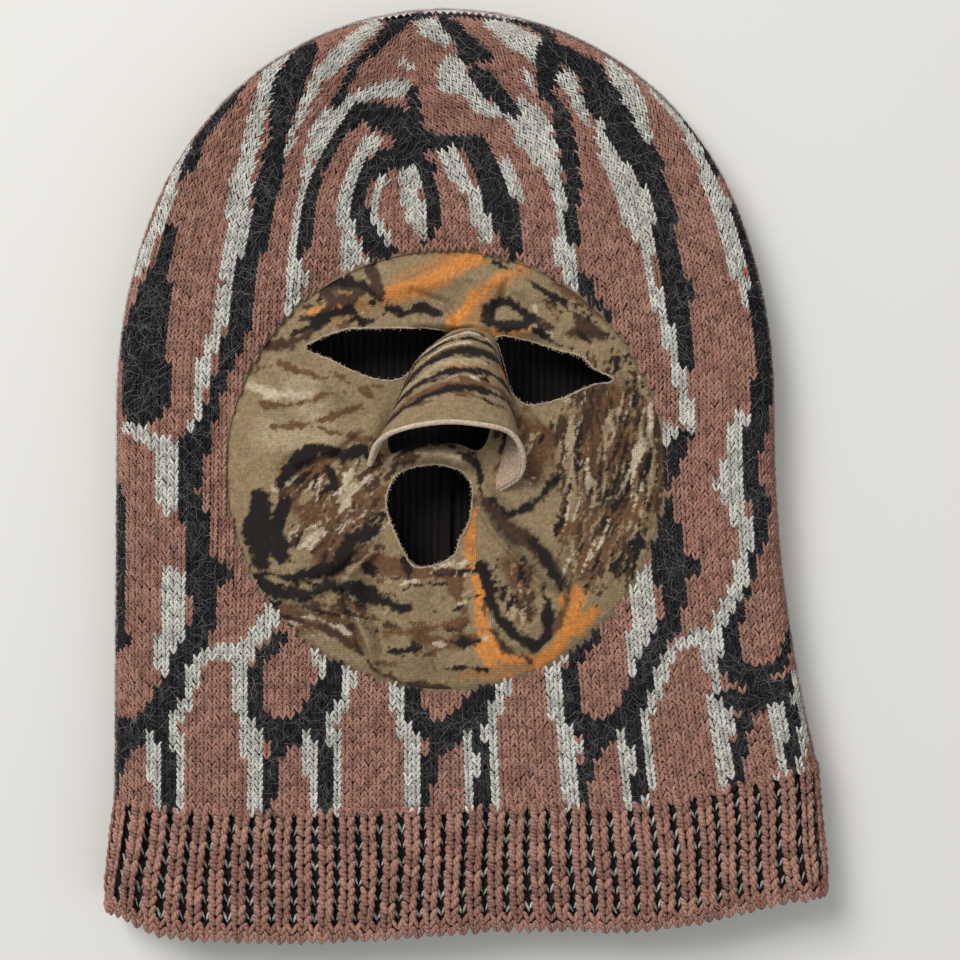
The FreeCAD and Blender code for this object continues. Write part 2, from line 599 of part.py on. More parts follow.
def chin_darts(maker):
    """Two sewn darts on the inside of the cloth face, beside and below the mouth."""
    for name, across, down, length, lean in (
            ("chin_dart_left", f"-{DART_END} * sin(Sizes.dart_swing)",
             f"{DART_END} * cos(Sizes.dart_swing)", "Sizes.dart_length", "Sizes.dart_lean"),
            ("chin_dart_right", "Sizes.fold_across + Sizes.fold_length * sin(Sizes.fold_lean)",
             "Sizes.fold_down + Sizes.fold_length * cos(Sizes.fold_lean)", "Sizes.fold_length",
             "Sizes.fold_lean")):
        dart = maker.box(name, "Sizes.bead_width", length, "Sizes.bead_height")
        maker.place(dart, f"{across} - {FACE_X}", f"{FACE_Y} - ({down})",
                    f"{LEAF_Z} - Sizes.bead_height", maker.size(lean))


def check(doc):
    """Stop on any failed object, open sketch or bad shape, and return the nodes by name."""
    doc.recompute()
    for item in doc.Objects:
        if "Invalid" in item.State or "Error" in item.State:
            raise RuntimeError(f"{item.Label}: {item.State}")
        if item.TypeId == "Sketcher::SketchObject" and not item.FullyConstrained:
            raise RuntimeError(f"{item.Label} isn't fully constrained")
    nodes = {}
    for name in NODES:
        shape = doc.getObjectsByLabel(name)[0].Shape
        if shape.isNull() or not shape.isValid() or not shape.Solids:
            raise RuntimeError(f"{name} has no valid solid")
        nodes[name] = shape
    return nodes


def main():
    maker = Maker()
    hood_knit(maker)
    neck_rib(maker)
    crown_seams(maker)
    face_panel(maker)
    face_seam(maker)
    nose_cover(maker)
    nose_stitching(maker)
    chin_darts(maker)
    nodes = check(maker.doc)
    os.makedirs("parts", exist_ok=True)
    for name, shape in nodes.items():
        shape.exportStep(f"parts/{name}.step")
        box = shape.BoundBox
        print(f"{name:20s} {len(shape.Solids)} solid, {shape.Volume / 1000:8.2f} cm3, "
              f"x {box.XMin:7.1f} {box.XMax:6.1f}  y {box.YMin:7.1f} {box.YMax:6.1f}  "
              f"z {box.ZMin:5.1f} {box.ZMax:5.1f}")


main()
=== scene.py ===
import math
import random

import bmesh
import bpy
import numpy as np
from mathutils import Matrix, Vector, noise


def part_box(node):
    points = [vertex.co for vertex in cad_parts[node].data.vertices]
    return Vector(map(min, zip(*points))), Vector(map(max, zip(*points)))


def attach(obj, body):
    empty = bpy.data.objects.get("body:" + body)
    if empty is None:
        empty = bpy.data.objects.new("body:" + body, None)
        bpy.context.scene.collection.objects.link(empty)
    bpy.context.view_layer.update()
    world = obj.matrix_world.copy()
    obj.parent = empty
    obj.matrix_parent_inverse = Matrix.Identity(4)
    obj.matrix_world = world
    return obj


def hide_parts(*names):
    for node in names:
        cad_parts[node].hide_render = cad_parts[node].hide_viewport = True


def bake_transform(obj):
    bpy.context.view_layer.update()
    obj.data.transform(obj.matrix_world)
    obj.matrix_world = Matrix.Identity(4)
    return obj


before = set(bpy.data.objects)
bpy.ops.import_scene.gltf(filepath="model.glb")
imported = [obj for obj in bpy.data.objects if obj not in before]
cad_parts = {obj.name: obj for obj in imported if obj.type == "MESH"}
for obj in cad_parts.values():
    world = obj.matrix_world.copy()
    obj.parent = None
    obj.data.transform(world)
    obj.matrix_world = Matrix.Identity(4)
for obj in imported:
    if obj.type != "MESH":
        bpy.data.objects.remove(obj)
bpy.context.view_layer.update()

bl_info = {
    "name": "Knit Face Mask",
    "version": (1, 0, 0),
    "blender": (4, 5, 0),
    "location": "3D View > Sidebar > Face Mask",
    "description": "Builds a knit camouflage face mask round its fixed frame",
    "category": "Object",
}

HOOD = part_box("hood_knit")
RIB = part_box("neck_rib")
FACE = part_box("face_panel")

# The hood's outline: a straight left side, a flaring right side and a crown of three arcs.
FACE_X = (FACE[0][0] + FACE[1][0]) / 2
FACE_Y = (FACE[0][1] + FACE[1][1]) / 2
FACE_R = (FACE[1][0] - FACE[0][0]) / 2
CLOTH_Z = FACE[1][2]
LEFT = HOOD[0][0]
HALF = FACE_X - LEFT
RIGHT = FACE_X + HALF
SEAM_Y = HOOD[0][1]
TOP_Y = HOOD[1][1]
EDGE_Y = RIB[0][1]
THICK = HOOD[1][2]
FOLD = THICK / 2
CROWN_RISE = 0.141
SHOULDER_EASE = 0.075
SPRING_Y = TOP_Y - CROWN_RISE
SHOULDER_R = HALF + SHOULDER_EASE
CROWN_R = (SHOULDER_R ** 2 - CROWN_RISE ** 2 - SHOULDER_EASE ** 2) / (
    2 * (SHOULDER_R - CROWN_RISE))
LEAN = math.atan2(CROWN_RISE - CROWN_R, SHOULDER_EASE)
FLARE = HOOD[1][0] - RIGHT
FLARE_R = (FLARE ** 2 + (SPRING_Y - SEAM_Y) ** 2) / (2 * FLARE)
NECK_FLARE = RIB[1][0] - HOOD[1][0]
FRONT_SEAM_X = -0.020
BACK_SEAM_X = FACE_X
SEAM_FOOT_Y = 0.084
ROLL = math.pi * FOLD / 2

# The jacquard's lower part repeats round the hood every twenty wales. Each streak is a yarn,
# then points of x, y and width in millimetres.
REPEAT = 55
MOTIF = (
    ("black", (-98.5, 8, 9), (-99, -10, 7), (-96, -20, 9), (-95, -35, 10), (-93, -50, 8),
     (-94, -58, 8), (-100, -64, 10), (-104, -75, 9), (-108, -83, 7), (-112, -88, 6),
     (-118, -92, 6), (-126, -91, 5)),
    ("black", (-90, -34, 5), (-86, -38, 6)),
    ("grey", (-107, 8, 7), (-107, -5, 7), (-106, -15, 5)),
    ("grey", (-104, -39, 8), (-103.5, -48, 10), (-104, -57, 9), (-106.5, -64, 7),
     (-107, -72, 4)),
    ("grey", (-97.5, -76, 5), (-97, -71, 5), (-92, -66, 4.5), (-86, -64.5, 5), (-80, -64, 5),
     (-76, -60, 5), (-71, -55, 7), (-69, -51, 5)),
    ("grey", (-78, -64, 5), (-80.5, -72, 6.5), (-80.5, -82, 4), (-79, -90, 3)),
    ("grey", (-97.5, -76, 5), (-100, -84, 5), (-104, -90, 5), (-103, -98, 7), (-102, -110, 6),
     (-103, -118, 4)),
    ("black", (-66, -60, 5), (-73, -67, 5), (-75, -78, 5), (-75, -86, 6), (-69, -92, 8),
     (-62, -94, 8), (-58, -92, 5)),
    ("black", (-66, -96, 6), (-69, -106, 5), (-70.5, -119, 4)),
    ("grey", (-77, -91, 5), (-75, -98, 8), (-75.5, -110, 6.5), (-74, -121, 4)),
    ("black", (-47, -68, 7), (-49, -79, 7), (-53.5, -86, 8), (-53, -94, 6), (-50, -104, 5),
     (-50, -114, 5), (-54, -121, 9)),
    ("grey", (-56.5, -94, 2.5), (-54.5, -103, 5.5), (-54.5, -116, 4)),
)

# The crown's streaks, seen from the front: a yarn, then points of x, y and width in millimetres.
CROWN_STREAKS = (
    ("grey", (-117, 70, 4), (-112, 82, 5), (-108, 92, 5), (-104, 104, 4), (-100, 113, 2)),
    ("black", (-114.5, 23, 17), (-114.5, 45, 17), (-111.5, 60, 13), (-108, 72, 5), (-104.5, 85, 3)),
    ("black", (-102, 103, 2), (-100, 106, 5), (-96, 115, 5), (-91, 122, 4), (-87, 128, 4),
     (-80, 136, 2)),
    ("grey", (-96, 8, 6), (-95.5, 22, 4), (-94, 35, 5), (-87.5, 52, 4), (-85, 65, 4),
     (-82.5, 78, 7), (-81.5, 90, 8), (-80.5, 100, 7.5), (-78, 110, 6), (-76, 120, 6.5),
     (-73, 130, 6), (-71, 140, 5.5), (-66, 148, 5)),
    ("black", (-96, 9, 10), (-92, 16, 4), (-88, 31, 4.5), (-83, 45, 7), (-80.5, 52, 8.5),
     (-79, 65, 8.5), (-76, 76, 7), (-73, 86, 6), (-71.5, 96, 9), (-69.5, 106, 8),
     (-67.5, 116, 6.5), (-66, 126, 8.5), (-63, 137, 11), (-58, 148, 8)),
    ("grey", (-65, 108, 2), (-62, 118, 2.5), (-57.5, 130, 3.5), (-53, 138, 4.5), (-46, 145, 7),
     (-41, 151, 6), (-34, 157, 5)),
    ("grey", (-64, 50, 7), (-62, 60, 6), (-60.5, 68, 6), (-61.5, 78, 3), (-59.5, 90, 2),
     (-58, 100, 3), (-57, 108, 3.5), (-53, 116, 7.5), (-47.5, 124, 7.5), (-41, 130, 4),
     (-34, 133, 5), (-24, 134, 6)),
    ("black", (-59.5, 74, 3), (-57.5, 85, 5), (-56, 95, 4.5), (-54, 104, 4), (-51, 109, 4),
     (-47, 115, 5), (-43, 121, 5), (-38, 127, 5), (-32, 124, 9), (-24, 121, 12), (-18, 117, 8),
     (-12, 115, 4)),
    ("black", (-19, 121, 5), (-20, 132, 4)),
    ("black", (-47, 129, 3), (-43, 136, 3.5), (-40, 143, 3.5), (-34, 148, 3.5), (-28, 155, 6),
     (-22, 160, 4)),
    ("grey", (-24, 143, 3), (-21, 142, 3)),
    ("grey", (-41, 72, 9), (-43, 82, 6.5), (-44, 92, 4), (-42, 103, 3.5), (-39, 110, 4.5),
     (-34, 115, 6)),
    ("black", (-31, 76, 10), (-36, 84, 8), (-39, 92, 6), (-37, 102, 6), (-30, 109, 7),
     (-22, 110, 9), (-15, 106, 6), (-14, 96, 5), (-13, 86, 5), (-16, 80, 4)),
    ("grey", (-29, 80, 3), (-33, 88, 3.5), (-33, 96, 3.5), (-30, 102, 3)),
    ("grey", (-21, 103, 7), (-21, 95, 8), (-18, 87, 7), (-16, 82, 4)),
    ("grey", (-7.5, 111, 6), (-4, 103, 5), (1, 97, 5), (3, 90, 6.5), (6, 82, 6)),
    ("black", (-16, 114, 5), (-6, 115, 4), (2, 114, 7), (5, 108, 9), (9, 100, 10), (12, 92, 13),
     (14, 84, 9), (16, 77, 5)),
    ("grey", (12, 108, 3), (15, 102, 5), (18, 94, 3)),
    ("grey", (-14, 156, 8), (-8, 151, 4)),
    ("grey", (-7, 136, 9), (-6, 141, 9), (-3, 147, 3)),
    ("grey", (-2, 137, 6), (2, 131, 6), (6, 126, 5), (12, 126, 5), (18, 125, 11), (23, 118, 14),
     (27, 110, 9), (30, 102, 5), (32, 92, 4), (33.5, 82, 6), (34, 74, 8), (38, 64, 4)),
    ("black", (-8, 158, 5), (-3, 153, 6), (0, 147, 9), (6, 146, 5)),
    ("black", (3, 139, 6), (8, 134, 8), (12, 129, 5), (16, 126, 4)),
    ("black", (-28, 158, 5), (-18, 161, 4), (-6, 163, 4)),
    ("grey", (8, 158, 5), (14, 154, 8), (22, 149, 9), (23, 144, 4)),
    ("grey", (19, 141, 2), (22, 135, 3)),
    ("black", (15, 160, 3), (24, 158, 5), (29, 153, 5), (28, 147, 8), (28, 140, 9), (27, 132, 5),
     (32, 128, 4), (33.5, 120, 7), (35, 110, 6), (37, 100, 6), (36, 90, 4), (37, 80, 3)),
    ("black", (29, 149, 6), (36, 145, 7), (43, 140, 9), (46, 131, 12), (51, 123, 13),
     (57, 114, 12), (63, 105, 11), (67, 96, 9), (69, 86, 8), (71, 74, 9), (74, 60, 9),
     (75, 48, 7), (77, 36, 5)),
    ("grey", (34, 138, 6), (37, 132, 5), (39.5, 126, 4.5), (41, 122, 3)),
    ("grey", (46, 121, 3), (48, 113, 5), (52, 105, 8), (57, 97, 10), (60, 88, 11), (62, 80, 6),
     (63.5, 70, 3), (66, 60, 4), (69, 50, 4.5), (73, 35, 4), (78, 14, 5)),
    ("grey", (50, 144, 4), (54, 137, 7), (58, 130, 7), (61, 122, 5), (63, 115, 3)),
    ("grey", (60, 142, 4), (67, 135, 6), (72, 127, 3.5), (77, 120, 4), (81, 112, 4), (84, 104, 5),
     (88, 96, 6), (91, 86, 9), (93, 77, 8), (95, 68, 5), (99, 58, 4)),
    ("black", (53, 148, 2), (62, 145, 4), (70, 141, 4), (73, 137, 2)),
    ("black", (72, 134, 3), (77, 128, 6), (81, 121, 5), (85, 113, 4), (88, 105, 3)),
    ("black", (94, 93, 3), (97, 82, 4), (101, 72, 6), (103, 62, 8), (104, 50, 8), (104, 30, 8),
     (103, 18, 6)),
    ("black", (40, 66, 5), (43, 58, 7), (47, 54, 6)),
)

# The streaks down the two sides, in the same way.
SIDE_STREAKS = (
    ("grey", (-121, 14, 4), (-114, 11, 4.5), (-107.5, 6, 7)),
    ("black", (-124, -8, 4), (-122.5, -28, 5), (-124, -60, 4)),
    ("black", (101, 14, 9), (98, 2, 8), (98, -8, 6), (103, -15, 7), (103, -28, 6), (100, -37, 5),
     (98, -47, 5), (95, -57, 6), (92, -66, 6), (93, -78, 8), (99, -84, 8), (106, -84, 6),
     (112, -80, 5), (116, -70, 4), (117, -58, 4)),
    ("grey", (95, 16, 6), (93, 5, 5), (91, -8, 9), (94, -16, 6), (97, -26, 6), (97, -38, 5),
     (95, -48, 6), (90, -58, 6), (87, -66, 5), (87, -76, 5), (88, -85, 5)),
    ("black", (76, 10, 5), (73, 4, 6), (70, -6, 5)),
    ("grey", (71, 9, 3), (71, 13, 4)),
)


def smooth(value):
    """An ease from 0 to 1."""
    value = min(max(value, 0.0), 1.0)
    return value * value * (3 - 2 * value)


def crown_half(rise):
    """Half the crown's width, a height above the straight sides."""
    if rise < SHOULDER_R * math.sin(LEAN):
        return math.sqrt(SHOULDER_R ** 2 - rise ** 2) - SHOULDER_EASE
    above = rise - (CROWN_RISE - CROWN_R)
    return math.sqrt(max(CROWN_R ** 2 - above ** 2, 1e-10))


def edges(y):
    """The outline's left and right, at a height."""
    if y > SPRING_Y:
        half = crown_half(y - SPRING_Y)
        return FACE_X - half, FACE_X + half
    if y > SEAM_Y:
        run = SPRING_Y - y
        return LEFT, RIGHT + FLARE_R - math.sqrt(FLARE_R ** 2 - run ** 2)
    spread = NECK_FLARE * (SEAM_Y - y) / (SEAM_Y - EDGE_Y)
    return LEFT - spread, HOOD[1][0] + spread


def inside(x, y):
    """How far a point lies inside the outline."""
    if y <= SPRING_Y:
        left, right = edges(y)
        return min(x - left, right - x)
    across, rise = abs(x - FACE_X), y - SPRING_Y
    over = rise - (CROWN_RISE - CROWN_R)
    if math.atan2(over, across) > LEAN:
        return CROWN_R - math.hypot(across, over)
    return SHOULDER_R - math.hypot(across + SHOULDER_EASE, rise)


def warp(x, y, z):
    """Draws up the right corner of the neck and waves its lower edge."""
    side = smooth((x - 0.045) / 0.085)
    low = smooth((0.03 - y) / 0.13)
    neck = smooth((SEAM_Y + 0.02 - y) / (SEAM_Y - EDGE_Y))
    wave = (0.0022 * math.sin(x * 34 + 0.6) + 0.0018) * neck
    corner = 0.006 * neck * smooth((-0.105 - x) / 0.02)
    return Vector((x - 0.002 * side * low, y + 0.015 * side * low + wave * (1 - side) + corner, z))


def knit_point(x, y, front):
    """A point of the knit's surface and its outward normal, from its place in plan."""
    depth = max(inside(x, y), 0.0)
    share = min(depth / FOLD, 1.0)
    lift = math.sqrt(max(1 - (1 - share) ** 2, 0.0))
    step = 1e-4
    slope = Vector((inside(x + step, y) - inside(x - step, y),
                    inside(x, y + step) - inside(x, y - step), 0))
    if slope.length > 0:
        slope.normalize()
    sign = 1 if front else -1
    normal = -slope * (1 - share)
    normal.z = sign * max(lift, 0.001)
    normal.normalize()
    z = THICK / 2 + sign * FOLD * lift
    if front:
        lump = noise.noise(Vector((x * 22, y * 22, 3.1)))
        lump += 0.5 * noise.noise(Vector((x * 60, y * 60, 7.7)))
        z += 0.0016 * lump * share
        reach = math.hypot(x - FACE_X, y - FACE_Y) - FACE_R
        z -= 0.0024 * smooth(1 - reach / 0.009)
    return warp(x, y, z), normal


def across(y, share):
    """The place in plan of a share of the way round a leaf, from its left fold to its right."""
    left, right = edges(y)
    bend = min(FOLD, (right - left) / 2)
    full = right - left - 2 * bend + math.pi * bend
    run = share * full
    quarter = math.pi * bend / 2
    if run < quarter:
        return left + bend - bend * math.cos(run / bend)
    if run > full - quarter:
        return right - bend + bend * math.cos((full - run) / bend)
    return left + bend + run - quarter


def on_run(x, y, points):
    """Whether a place lies in a streak of given middle points and widths."""
    for (ax, ay, aw), (bx, by, bw) in zip(points, points[1:]):
        dx, dy = bx - ax, by - ay
        part = ((x - ax) * dx + (y - ay) * dy) / (dx * dx + dy * dy)
        part = min(max(part, 0.0), 1.0)
        gap = math.hypot(x - ax - dx * part, y - ay - dy * part)
        if gap < (aw + (bw - aw) * part) / 2:
            return True
    return False


def motif_yarn(x, y):
    """The yarn at a place of the repeating part."""
    found = "mauve"
    x = (x + 125) % REPEAT - 125
    for yarn, *points in MOTIF:
        if on_run(x, y, points) or on_run(x + REPEAT, y, points) or on_run(x - REPEAT, y, points):
            found = yarn
    return found


def yarn_at(x, y, front):
    """The jacquard's yarn for one stitch."""
    x, y = x * 1000, y * 1000
    if not front:
        if math.hypot(x - FACE_X * 1000, y) < 84 and y > 4:
            return motif_yarn(x + 20, y - 88)
    found = "mauve"
    if y < 10 and not (front and x > 84 and y > -86):
        found = motif_yarn(x, max(y, -116))
    streaks = CROWN_STREAKS + SIDE_STREAKS if front else CROWN_STREAKS
    for yarn, *points in streaks:
        if on_run(x, y, points):
            found = yarn
    return found


def stitch_leg():
    """One leg of a stitch: a bead of yarn 1 long, 1 wide and 1 deep, with its length along Y."""
    leg = bmesh.new()
    bmesh.ops.create_uvsphere(leg, u_segments=4, v_segments=4, radius=0.5)
    bmesh.ops.rotate(leg, verts=leg.verts, matrix=Matrix.Rotation(math.pi / 2, 3, "X"))
    bmesh.ops.triangulate(leg, faces=leg.faces)
    return leg


def fibre_strip():
    """One loose fibre: a narrow strip 1 long and 1 wide, with its length along Y."""
    strip = bmesh.new()
    bmesh.ops.create_grid(strip, x_segments=1, y_segments=6, size=0.5)
    bmesh.ops.triangulate(strip, faces=strip.faces)
    return strip


def shape_arrays(shape):
    """A shape's points and triangles."""
    shape.verts.ensure_lookup_table()
    points = np.array([v.co[:] for v in shape.verts])
    faces = np.array([[v.index for v in f.verts] for f in shape.faces])
    shape.free()
    return points, faces


def repeat_shape(name, shape, places, tones, bends=None):
    """A mesh of one shape at many places, each a middle and its across, along and out vectors."""
    points, faces = shape_arrays(shape)
    places = np.array(places)
    middle, side, along, out = places[:, 0], places[:, 1], places[:, 2], places[:, 3]
    spread = (middle[:, None] + points[None, :, 0:1] * side[:, None]
              + points[None, :, 1:2] * along[:, None] + points[None, :, 2:3] * out[:, None])
    if bends is not None:
        bow = (0.25 - points[None, :, 1:2] ** 2) * 4
        curl = np.sin(points[None, :, 1:2] * 7 + bends[:, None, 0:1])
        spread += bow * bends[:, None, 1:4] + curl * bends[:, None, 4:7]
    steps = np.arange(len(places))[:, None, None] * len(points)
    mesh = bpy.data.meshes.new(name)
    mesh.from_pydata(spread.reshape(-1, 3), [], (faces[None] + steps).reshape(-1, 3))
    yarn = mesh.attributes.new("yarn", "FLOAT_VECTOR", "POINT")
    values = np.empty((len(places), len(points), 3), np.float32)
    values[:, :, 0] = points[None, :, 0]
    values[:, :, 1] = points[None, :, 1]
    values[:, :, 2] = np.array(tones)[:, None]
    yarn.data.foreach_set("vector", values.ravel())
    mesh.shade_smooth()
    mesh.update()
    return mesh


def place_piece(mesh, material, body="mask"):
    """Puts a finished mesh in the scene, on its body."""
    piece = bpy.data.objects.new(mesh.name, mesh)
    bpy.context.scene.collection.objects.link(piece)
    if not mesh.materials:
        mesh.materials.append(material)
    if body:
        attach(piece, body)
    return piece


def leg_places(middle, along, out, width, pitch, deep, chance, slant=0.38, reach=1.9):
    """The two legs of one stitch, leaning apart upwards."""
    side = along.cross(out).normalized()
    places = []
    for hand in (-1, 1):
        lean = slant + chance.uniform(-0.12, 0.12)
        line = along * math.cos(lean) + side * (hand * math.sin(lean))
        line += out * (0.20 + chance.uniform(-0.10, 0.10))
        line.normalize()
        spread = line.cross(out).normalized()
        centre = middle + side * (hand * width * 0.25 * chance.uniform(0.85, 1.15))
        centre += along * chance.uniform(-0.0003, 0.0003) + out * chance.uniform(-0.0002, 0.0002)
        thick = width * 0.47 * chance.uniform(0.86, 1.14)
        places.append((centre, spread * thick, line * pitch * reach * chance.uniform(0.93, 1.07),
                       spread.cross(line) * deep))
    return places


HALVES = (
    ("front_left", True, 0, FRONT_SEAM_X),
    ("front_right", True, 1, FRONT_SEAM_X),
    ("back_right", False, 1, BACK_SEAM_X),
    ("back_left", False, 0, BACK_SEAM_X),
)


def wale_x(hand, seam_x, start, y):
    """Where a wale lies at a height, from its distance round the fold below, or None past the seam."""
    edge = edges(y)[hand]
    first = (LEFT, RIGHT)[hand]
    room = abs(edge - seam_x)
    below = abs(first - seam_x)
    eaten = 0.030 * smooth((y - 0.090) / 0.075)
    run = start * (room + eaten - FOLD + ROLL) / (below - FOLD + ROLL)
    inset = FOLD - FOLD * math.cos(run / FOLD) if run < ROLL else run - ROLL + FOLD
    if inset > room:
        return None
    return edge + inset if hand == 0 else edge - inset


def hood_stitches(knit):
    """Every stitch of the hood, as legs sorted by half and yarn."""
    chance = random.Random(7)
    sorted_legs = {}
    for half, front, hand, seam_x in HALVES:
        below = abs((LEFT, RIGHT)[hand] - seam_x) - FOLD + ROLL
        count = int(below / knit.wale_pitch + 0.5)
        for index in range(count):
            start = (index + 0.5) * below / count
            half_wale = 0.5 * below / count
            y = SEAM_Y + 0.0008
            while y < TOP_Y - 0.0006:
                x = wale_x(hand, seam_x, start, y)
                over = wale_x(hand, seam_x, start, y + 0.0004)
                if x is None or over is None:
                    break
                point, out = knit_point(x, y, front)
                ahead, _ = knit_point(over, y + 0.0004, front)
                line = ahead - point
                ratio = line.length / 0.0004
                line.normalize()
                near = wale_x(hand, seam_x, start - half_wale, y)
                beside = knit_point(near if near is not None else x, y, front)[0]
                side = line.cross(out).normalized()
                width = min(2 * abs((beside - point).dot(side)), 0.0034)
                reach = math.hypot(point.x - FACE_X, point.y - FACE_Y)
                open_face = front and reach < FACE_R - 0.0010
                if width > 0.0009 and not open_face:
                    yarn = yarn_at(x, y, front)
                    legs = leg_places(point, line, out, max(width, 0.0016), knit.course_pitch,
                                      knit.yarn_depth, chance)
                    tone = chance.uniform(0, 1)
                    store = sorted_legs.setdefault((half, yarn), ([], []))
                    store[0].extend(legs)
                    store[1].extend((tone, min(tone + 0.1, 1)))
                y += knit.course_pitch / max(ratio, 0.2)
        seam_fill(knit, half, front, seam_x + (-0.0008, 0.0008)[hand], sorted_legs, chance)
    fold_fill(knit, sorted_legs, chance)
    return sorted_legs


def crown_edge(x):
    """The height of the crown's outline over a place across."""
    y = TOP_Y - 0.0002
    while inside(x, y) < 0.0002 and y > SPRING_Y:
        y -= 0.0001
    return y


def fold_fill(knit, sorted_legs, chance):
    """Stitches over the crown's fold, where the wales run out at its top."""
    x = FRONT_SEAM_X - 0.040
    while x < FRONT_SEAM_X + 0.070:
        y = crown_edge(x)
        out = Vector((crown_edge(x - 0.002) - crown_edge(x + 0.002), 0.004, 0)).normalized()
        half = "front_left" if x < FRONT_SEAM_X else "front_right"
        store = sorted_legs.get((half, yarn_at(x, y - 0.004, True)))
        for row in range(-2, 3):
            if store:
                point = Vector((x, y, FOLD + row * knit.course_pitch)) - out * 0.0007 * abs(row)
                store[0].extend(leg_places(point, Vector((0, 0, 1)), out, 0.0028, knit.course_pitch,
                                           knit.yarn_depth, chance))
                store[1].extend((0.4, 0.5))
        x += 0.0026


def seam_fill(knit, half, front, x, sorted_legs, chance):
    """A sunken line of stitches beside a crown seam, where the wales run out."""
    y = SEAM_FOOT_Y
    while y < TOP_Y - 0.001:
        point, out = knit_point(x, y, front)
        ahead, _ = knit_point(x, y + 0.0004, front)
        store = sorted_legs.get((half, yarn_at(x, y, front)))
        if store:
            store[0].extend(leg_places(point - out * 0.0006, (ahead - point).normalized(), out, 0.0026,
                                       knit.course_pitch, knit.yarn_depth, chance))
            store[1].extend((0.4, 0.5))
        y += knit.course_pitch


def link(tree, source, output, target, socket):
    """Joins one node's output to another's input."""
    tree.links.new(source.outputs[output], target.inputs[socket])


def add_node(tree, kind, x, y, **settings):
    """A node at a place in the editor, with its settings."""
    node = tree.nodes.new(kind)
    node.location = (x, y)
    for key, value in settings.items():
        setattr(node, key, value)
    return node


def start_material(name, roughness, sheen, sheen_roughness=0.5):
    """A material with a Principled shader and its constant values."""
    material = bpy.data.materials.new(name)
    material.use_nodes = True
    tree = material.node_tree
    shader = tree.nodes["Principled BSDF"]
    shader.inputs["Roughness"].default_value = roughness
    shader.inputs["Sheen Weight"].default_value = sheen
    shader.inputs["Sheen Roughness"].default_value = sheen_roughness
    shader.inputs["Specular IOR Level"].default_value = 0.2
    return material, tree, shader


